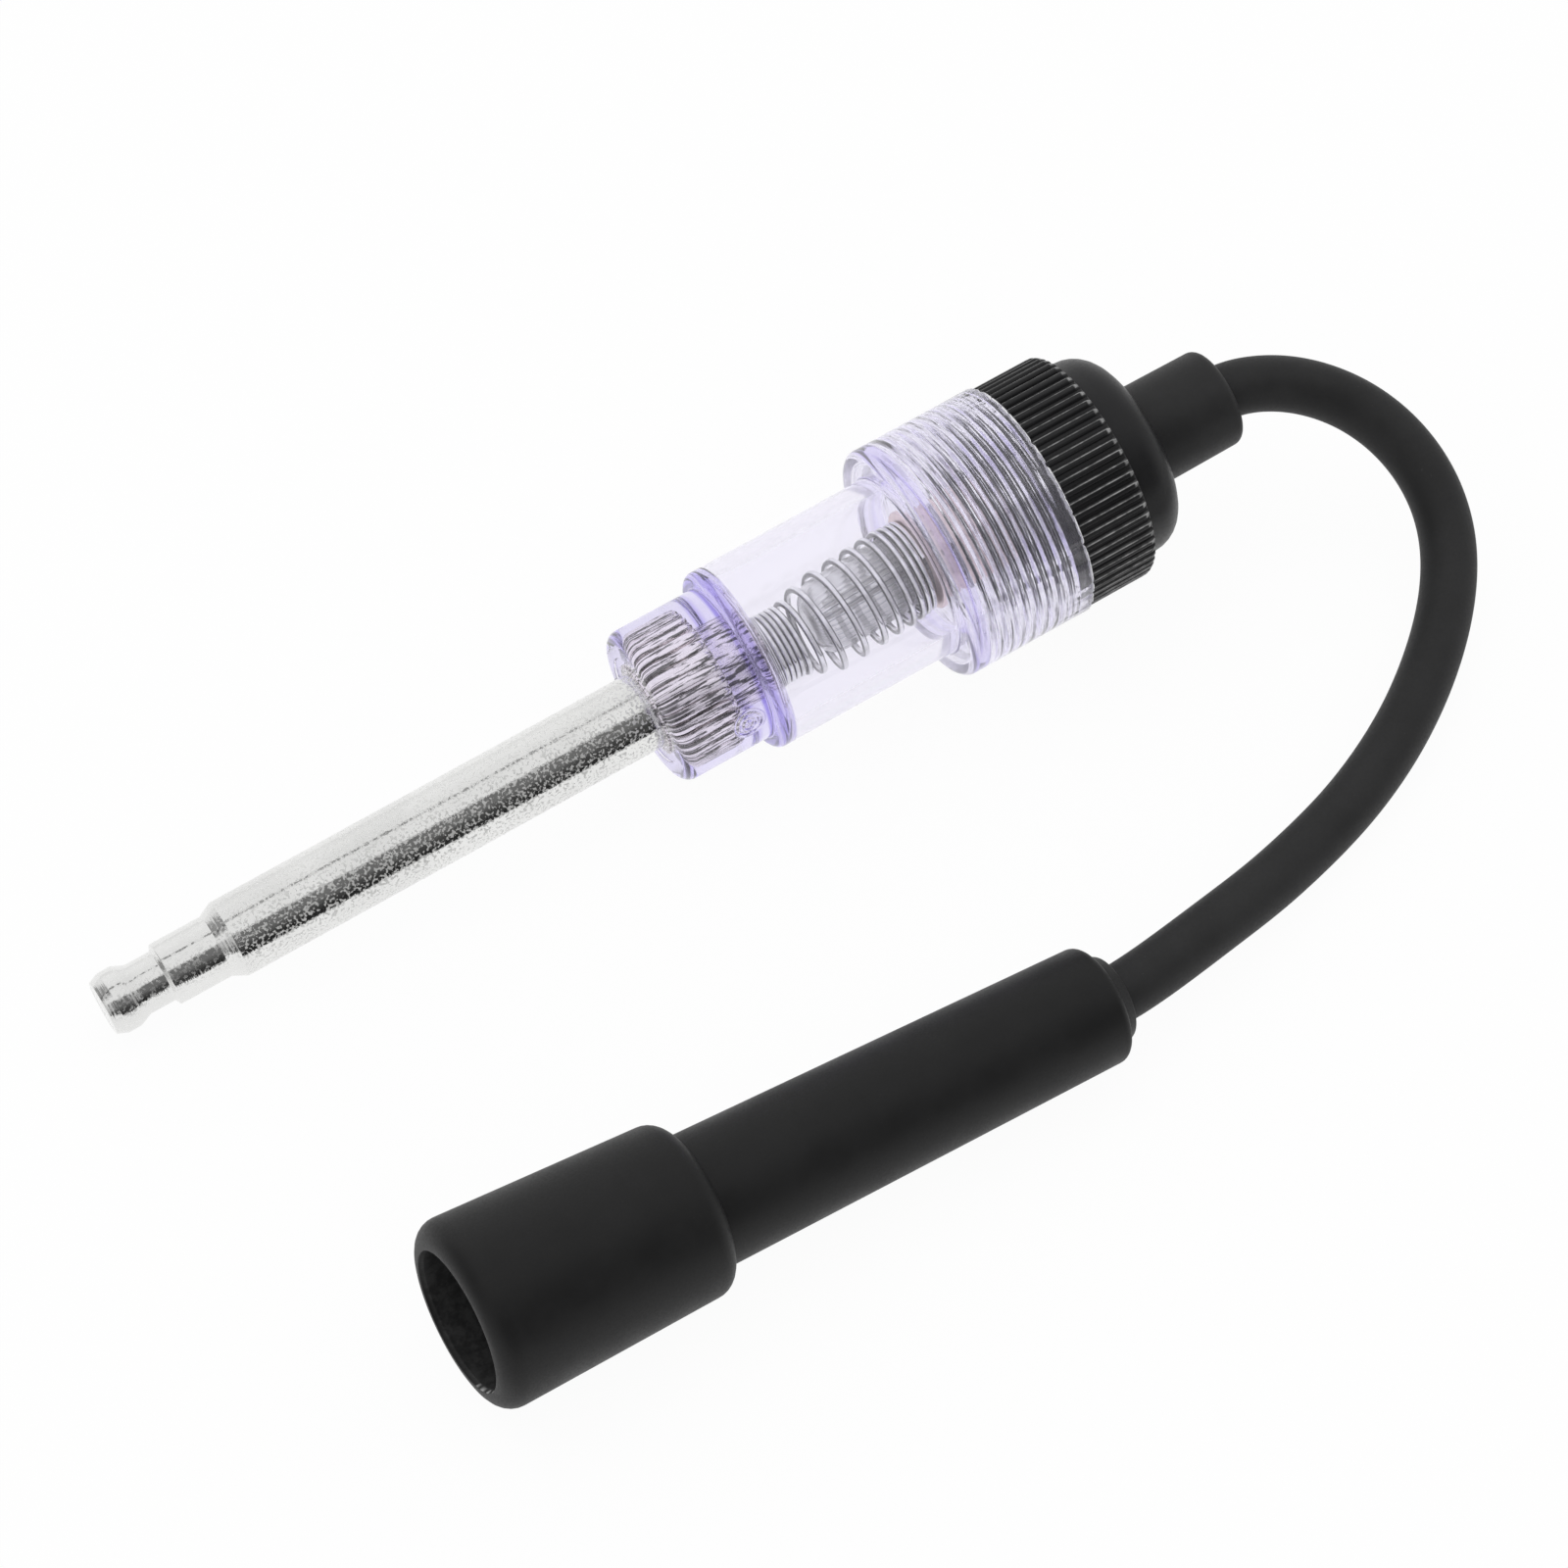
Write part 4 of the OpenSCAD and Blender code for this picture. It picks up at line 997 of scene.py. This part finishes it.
class TESTER_OT_housing(bpy.types.Operator):
    """Makes the clear screw-on housing, with its inner thread and its worn rear edge"""
    bl_idname = "tester.housing"
    bl_label = "Clear housing"

    # Wall of the lamp chamber, radius of the rod's hole, and places of the threaded wall and of the ridge on it
    wall = 1.7
    hole = 2.9
    threaded = (90.95, 101.95)
    ridge = (90.7, 101.6)
    bore_floor = 90.6
    # Chips are made where the outside is wider and further back than this
    chipped_past = (11.5, 101.85)

    def execute(self, context):
        settings = context.scene.tester.housing
        neck, chamber, wide, root = radii(settings, "neck", "chamber", "wide", "thread")
        cavity = chamber - self.wall
        dip = NECK_FRONT + 0.15
        outer = rounded([
            (self.hole, NECK_FRONT, 0), (4.7, NECK_FRONT, 0.05), (4.85, dip, 0.05), (5.6, dip, 0.05),
            (5.7, NECK_FRONT, 0.05), (neck, NECK_FRONT, 1.2), (neck, CHAMBER_FRONT, 0.2), (chamber, CHAMBER_FRONT, 0.8),
            (chamber, WIDE_FRONT, 0.3), (wide, WIDE_FRONT, 0.8), (wide, 101.9, 0), (wide, HOUSING_REAR, 0.12),
            (root, HOUSING_REAR, 0.1), (root, self.threaded[1], 0)], 7)
        inner = rounded([
            (root, self.threaded[0], 0), (root, self.bore_floor, 0.25), (cavity, self.bore_floor, 0.3),
            (cavity, CHAMBER_FLOOR, 1.0), (self.hole, CHAMBER_FLOOR, 0)], 7)
        skin = Skin(320)
        front = skin.turn(split(outer, 2.0), self.chipped)
        back = skin.turn(split(inner, 2.0))
        skin.thread(back[0], front[-1], self.threaded, root, SHARP_RIDGE, 0.6, settings.pitch / MM, self.ridge, True)
        skin.band(back[-1], front[0], CHAMBER_FLOOR, NECK_FRONT)
        put("clear_shell", skin.mesh("clear_shell", TOOL, 50), clear_plastic(settings), "housing",
            ["clear_housing"])
        return {"FINISHED"}

    def chipped(self, turn, radius, place):
        """Small chips along the rear edge, where the housing meets the cap."""
        if radius < self.chipped_past[0] or place < self.chipped_past[1]:
            return radius, place
        spot = Vector((math.cos(turn), math.sin(turn), 0.0))
        chip = max(0.0, noise.noise(spot * 14) - 0.12) + max(0.0, noise.noise(spot * 40 + Vector((3, 1, 2))) - 0.3)
        return radius - 0.35 * chip, place - 0.3 * chip


class TESTER_OT_lamp(bpy.types.Operator):
    """Makes the lamp's fluted glass and pressed base, and finishes its small inner pieces"""
    bl_idname = "tester.lamp"
    bl_label = "Lamp"

    # Wall of the glass, depth of its flutes and how far its tip hangs, in millimetres
    glass_wall = 0.45
    flute_depth = 0.03
    tip_sag = 0.5

    def execute(self, context):
        settings = context.scene.tester.lamp
        glass, base = radii(settings, "glass", "base")
        inside = glass - self.glass_wall
        flutes = settings.flutes
        clear = lamp_glass(flutes)

        def fluted(turn, radius, place):
            if radius < glass - 0.3:
                return radius, place
            depth = self.flute_depth * smooth((place - 77.8) / 1.5) * smooth((89.2 - place) / 0.5)
            return radius - depth * (0.5 + 0.5 * math.cos(flutes * turn)), place

        outline = rounded([
            (0, GLASS_TIP, 0), (glass, GLASS_TIP, 2.2), (glass, GLASS_END, 0), (inside, GLASS_END, 0),
            (inside, GLASS_TIP + self.glass_wall, 1.8), (0, GLASS_TIP + self.glass_wall, 0)], 8)
        mesh = turned("lamp_envelope", split(outline, 1.0), TOOL, flutes * 6, fluted)
        self.tip_down(mesh)
        put("lamp_envelope", mesh, clear, "cap", ["lamp_glass"])
        dress(clear, "lamp_bead")
        rim, cup, web, web_end = base + 0.7, base - 0.6, GLASS_END + FIT, GLASS_END + 0.82
        outline = rounded([
            (glass + FIT, FLANGE, 0), (rim, FLANGE, 0.2), (rim, 90.2, 0.25), (base, 90.2, 0.2), (base, 97.6, 0.15),
            (cup, 97.6, 0), (cup, web_end, 0), (1.7, web_end, 0), (1.7, web, 0), (glass + FIT, web, 0)], 4)
        put("lamp_cup", turned("lamp_cup", split(outline, 1.0), TOOL, 128, closed=True), lamp_brass(settings), "cap",
            ["lamp_base"])
        dress(drawn_wire("electrode", (0.42, 0.42, 0.43), grain=0.0002, low=0.35, high=0.5), "lamp_electrode_base",
              "lamp_electrode_tip")
        dress(drawn_wire("solder", (0.62, 0.62, 0.63), grain=0.0003, low=0.32, high=0.5), "lamp_tip_contact")
        dress(drawn_wire("contact brass", (0.74, 0.53, 0.22)), "cap_contact")
        dress(drawn_wire("ferrule steel", (0.66, 0.66, 0.67)), "crimp_ferrule")
        dress(dark_moulding("insulator", (0.014, 0.014, 0.015), rough=0.4, grain=0.0003, depth=3e-6, level=0.3),
              "lamp_insulator")
        return {"FINISHED"}

    def tip_down(self, mesh):
        """Lets the glass hang a little from where it leaves the base to its tip."""
        unlaid = TOOL.inverted()
        for vertex in mesh.vertices:
            x, y, place = unlaid @ vertex.co
            sag = self.tip_sag * max(0.0, FLANGE - place) / (FLANGE - GLASS_TIP)
            vertex.co = TOOL @ Vector((x + SAG[0] * sag, y + SAG[1] * sag, place))


class TESTER_OT_spring(bpy.types.Operator):
    """Makes the contact spring, close-wound at both ends, narrow on the stud and wide round the lamp"""
    bl_idname = "tester.spring"
    bl_label = "Contact spring"

    # Place of each turn along the tool, in millimetres, where it passes on the camera's side
    turns = (70.12, 70.73, 71.34, 71.95, 72.56, 73.17, 73.78, 74.4, 75.5, 77.3, 79.8, 82.1, 84.0, 85.7, 86.9, 87.7,
             88.45, 89.08)
    facing = math.radians(212)
    steps = 40
    # How far the spring hangs at the stud, at the glass's tip and at the flange, in millimetres
    stud_sag, tip_sag, flange_sag = 0.8, 1.0, 0.2

    def execute(self, context):
        settings = context.scene.tester.lamp
        wire, small, big = radii(settings, "wire", "small", "big")
        # The spring's steel gets painted shade on the sides of its turns, where they face each other
        steel = drawn_wire("spring steel", tuple(settings.steel), grain=0.0003, low=0.12, high=0.26, sides=0.85)
        points = []
        for step in range((len(self.turns) - 1) * self.steps + 1):
            turn = step / self.steps
            before = min(int(turn), len(self.turns) - 2)
            place = self.turns[before] + (self.turns[before + 1] - self.turns[before]) * (turn - before)
            radius = small + (big - small) * smooth((place - 73.8) / 4.6) - wire
            radius -= 0.3 * smooth((place - 86.0) / 3.0)
            sag = self.stud_sag + (self.tip_sag - self.stud_sag) * smooth((place - STUD_END) / 4)
            sag -= (self.tip_sag - self.flange_sag) * max(0.0, (place - 77) / 12.2)
            angle = math.tau * turn + self.facing
            points.append((radius * math.cos(angle) + SAG[0] * sag, radius * math.sin(angle) + SAG[1] * sag, place))
        points = [TOOL @ Vector(point) for point in through(points[::4], 4)]
        put_wire("spring_coil", points, settings.wire, 12, steel, "spring", ["contact_spring"])
        return {"FINISHED"}


class TESTER_OT_cap(bpy.types.Operator):
    """Makes the ribbed cap with its threaded spigot, and the sleeve that the lead leaves by"""
    bl_idname = "tester.cap"
    bl_label = "Cap and sleeve"

    # Places of the spigot's threaded wall and of the ridge on it, and how far it stays inside the housing's thread
    threaded = (97.2, 102.0)
    ridge = (98.825, 101.3)
    inset = 1.1
    # Where the sleeve and the lead stop inside the cap, and the seats of the lead, the ferrule and the contact
    sleeve_end, lead_end, core_end, seat, well = 108.45, 105.45, 100.55, 98.6, 94.6
    # Radii of the holes for the conductor, the contact and the lamp's base, and of the collar in front of the spigot
    core_hole, contact_hole, base_hole, nose = 2.02, 3.42, 4.7, 6
    # Sections of a rib: place along the tool, share of its height, how much narrower it is, and how much its top is
    # lightened
    rib_sections = ((102.27, 0.82, 0.0, 0.3), (102.36, 1.0, 0.0, 0.0), (109.0, 1.0, 0.0, 0.0), (109.2, 0.9, 0.02, 0.8),
                    (109.55, 0.25, 0.1, 0.3))

    def execute(self, context):
        settings = context.scene.tester.cap
        housing, cable = context.scene.tester.housing, context.scene.tester.lead
        ring, dome, sleeve = radii(settings, "ring", "dome", "sleeve")
        root, = radii(housing, "thread")
        lead, = radii(cable, "lead")
        lead += FIT
        core = root - self.inset
        height = settings.height / MM
        plastic = dark_moulding("cap plastic", tuple(settings.plastic), rough=0.4, grain=0.00028, depth=4e-6,
                                level=0.26, edges=settings.wear_and_painted_light)
        before = rounded([
            (self.contact_hole, self.seat, 0), (self.base_hole, self.seat, 0), (self.base_hole, self.well, 0.2),
            (self.nose, self.well, 0.2), (self.nose, 96.7, 0.2), (core, 96.7, 0.4), (core, self.threaded[0], 0)], 4)
        after = rounded([
            (core, self.threaded[1], 0), (core, RING_FRONT, 0.1), (ring - height, RING_FRONT, 0.15),
            (ring - height, RING_REAR, 0.3), (dome, RING_REAR, 0.12), (dome, DOME_REAR, 3.4),
            (sleeve + 0.25, DOME_REAR, 0.2), (sleeve + FIT, DOME_REAR - 0.2, 0), (sleeve + FIT, self.sleeve_end, 0),
            (lead, self.sleeve_end, 0), (lead, self.lead_end, 0), (self.core_hole, self.lead_end, 0),
            (self.core_hole, self.core_end, 0), (self.contact_hole, self.core_end, 0)], 8)
        skin = Skin(192)
        first = skin.turn(split(before, 2.0))
        last = skin.turn(split(after, 2.0))
        skin.thread(first[-1], last[0], self.threaded, core, BLUNT_RIDGE, 0.7, housing.pitch / MM, self.ridge, False)
        skin.band(last[-1], first[0], self.core_end, self.seat)
        put("cap_body", skin.mesh("cap_body", TOOL, 40), plastic, "cap", ["screw_cap"])
        rib = self.rib(ring, height, math.tau * ring / settings.ribs)
        put_ring("cap_ribs", rib, settings.ribs, 0.0022, 7, plastic, "cap")
        rubber = dark_moulding("sleeve rubber", scaled(tuple(cable.rubber), 1.6), rough=0.5, grain=0.00025, depth=4e-6,
                               level=0.22)
        end = self.sleeve_end + 0.05
        outline = rounded([
            (lead, end, 0), (sleeve, end, 0), (sleeve, DOME_REAR, 0), (sleeve - 0.1, SLEEVE_REAR, 0.95),
            (lead, SLEEVE_REAR, 0.2), (lead, SLEEVE_REAR - 1.15, 0)], 7)
        put("sleeve_tube", turned("sleeve_tube", split(outline, 2.0), TOOL, 112, closed=True), rubber, "cap",
            ["lead_sleeve"])
        return {"FINISHED"}

    def rib(self, top, height, pitch):
        """One rib of the cap with softened edges and a sloped rear end."""
        foot = top - height
        tip_half, foot_half = 0.2 * pitch, 0.34 * pitch
        edge = 0.09
        sections, wear_and_painted_light = [], []
        for place, rise, narrow, worn in self.rib_sections:
            # Painted highlight: the same edge of every rib is lightened along its whole length, and the flank below it
            # a little; the top and the other edge only as much as each section gives
            wear_and_painted_light.append([0.0, 0.0, 0.1 * worn, worn, worn, worn, 1.0, 0.15, 0.0, 0.0])
            peak = foot + height * rise
            half = tip_half - narrow
            flank = [(foot - 0.25, foot_half), (foot, foot_half), (peak - edge * rise, half + 0.05),
                     (peak - 0.02, half - 0.03), (peak, half - 0.1)]
            sections.append([*((radius, aside, place) for radius, aside in flank),
                             *((radius, -aside, place) for radius, aside in reversed(flank))])
        return outward(bar("rib", sections, wear_and_painted_light))


class VIEW3D_PT_tester(bpy.types.Panel):
    """Lists the pieces of the tester with their sizes and colours"""
    bl_label = "Spark plug tester"
    bl_space_type = "VIEW_3D"
    bl_region_type = "UI"
    bl_category = "Tester"

    def draw(self, context):
        settings = context.scene.tester
        for step, group in STEPS:
            column = self.layout.box().column()
            column.operator(step.bl_idname)
            for key in getattr(settings, group).__annotations__:
                column.prop(getattr(settings, group), key)


# The operators in the order in which they run, each with the settings that it uses most
STEPS = [
    (TESTER_OT_stage, "stage"),
    (TESTER_OT_boot, "lead"),
    (TESTER_OT_lead, "lead"),
    (TESTER_OT_rod, "rod"),
    (TESTER_OT_housing, "housing"),
    (TESTER_OT_lamp, "lamp"),
    (TESTER_OT_spring, "lamp"),
    (TESTER_OT_cap, "cap"),
]
CLASSES = [
    TESTER_PG_rod, TESTER_PG_housing, TESTER_PG_lamp, TESTER_PG_cap, TESTER_PG_lead, TESTER_PG_stage,
    TESTER_PG_settings, *(step for step, _ in STEPS), VIEW3D_PT_tester,
]


def register():
    for kind in CLASSES:
        bpy.utils.register_class(kind)
    bpy.types.Scene.tester = bpy.props.PointerProperty(type=TESTER_PG_settings)


def unregister():
    del bpy.types.Scene.tester
    for kind in reversed(CLASSES):
        bpy.utils.unregister_class(kind)


def main():
    register()
    bpy.ops.tester.stage()
    bpy.ops.tester.boot()
    bpy.ops.tester.lead()
    bpy.ops.tester.rod()
    bpy.ops.tester.housing()
    bpy.ops.tester.lamp()
    bpy.ops.tester.spring()
    bpy.ops.tester.cap()


if __name__ == "__main__":
    main()
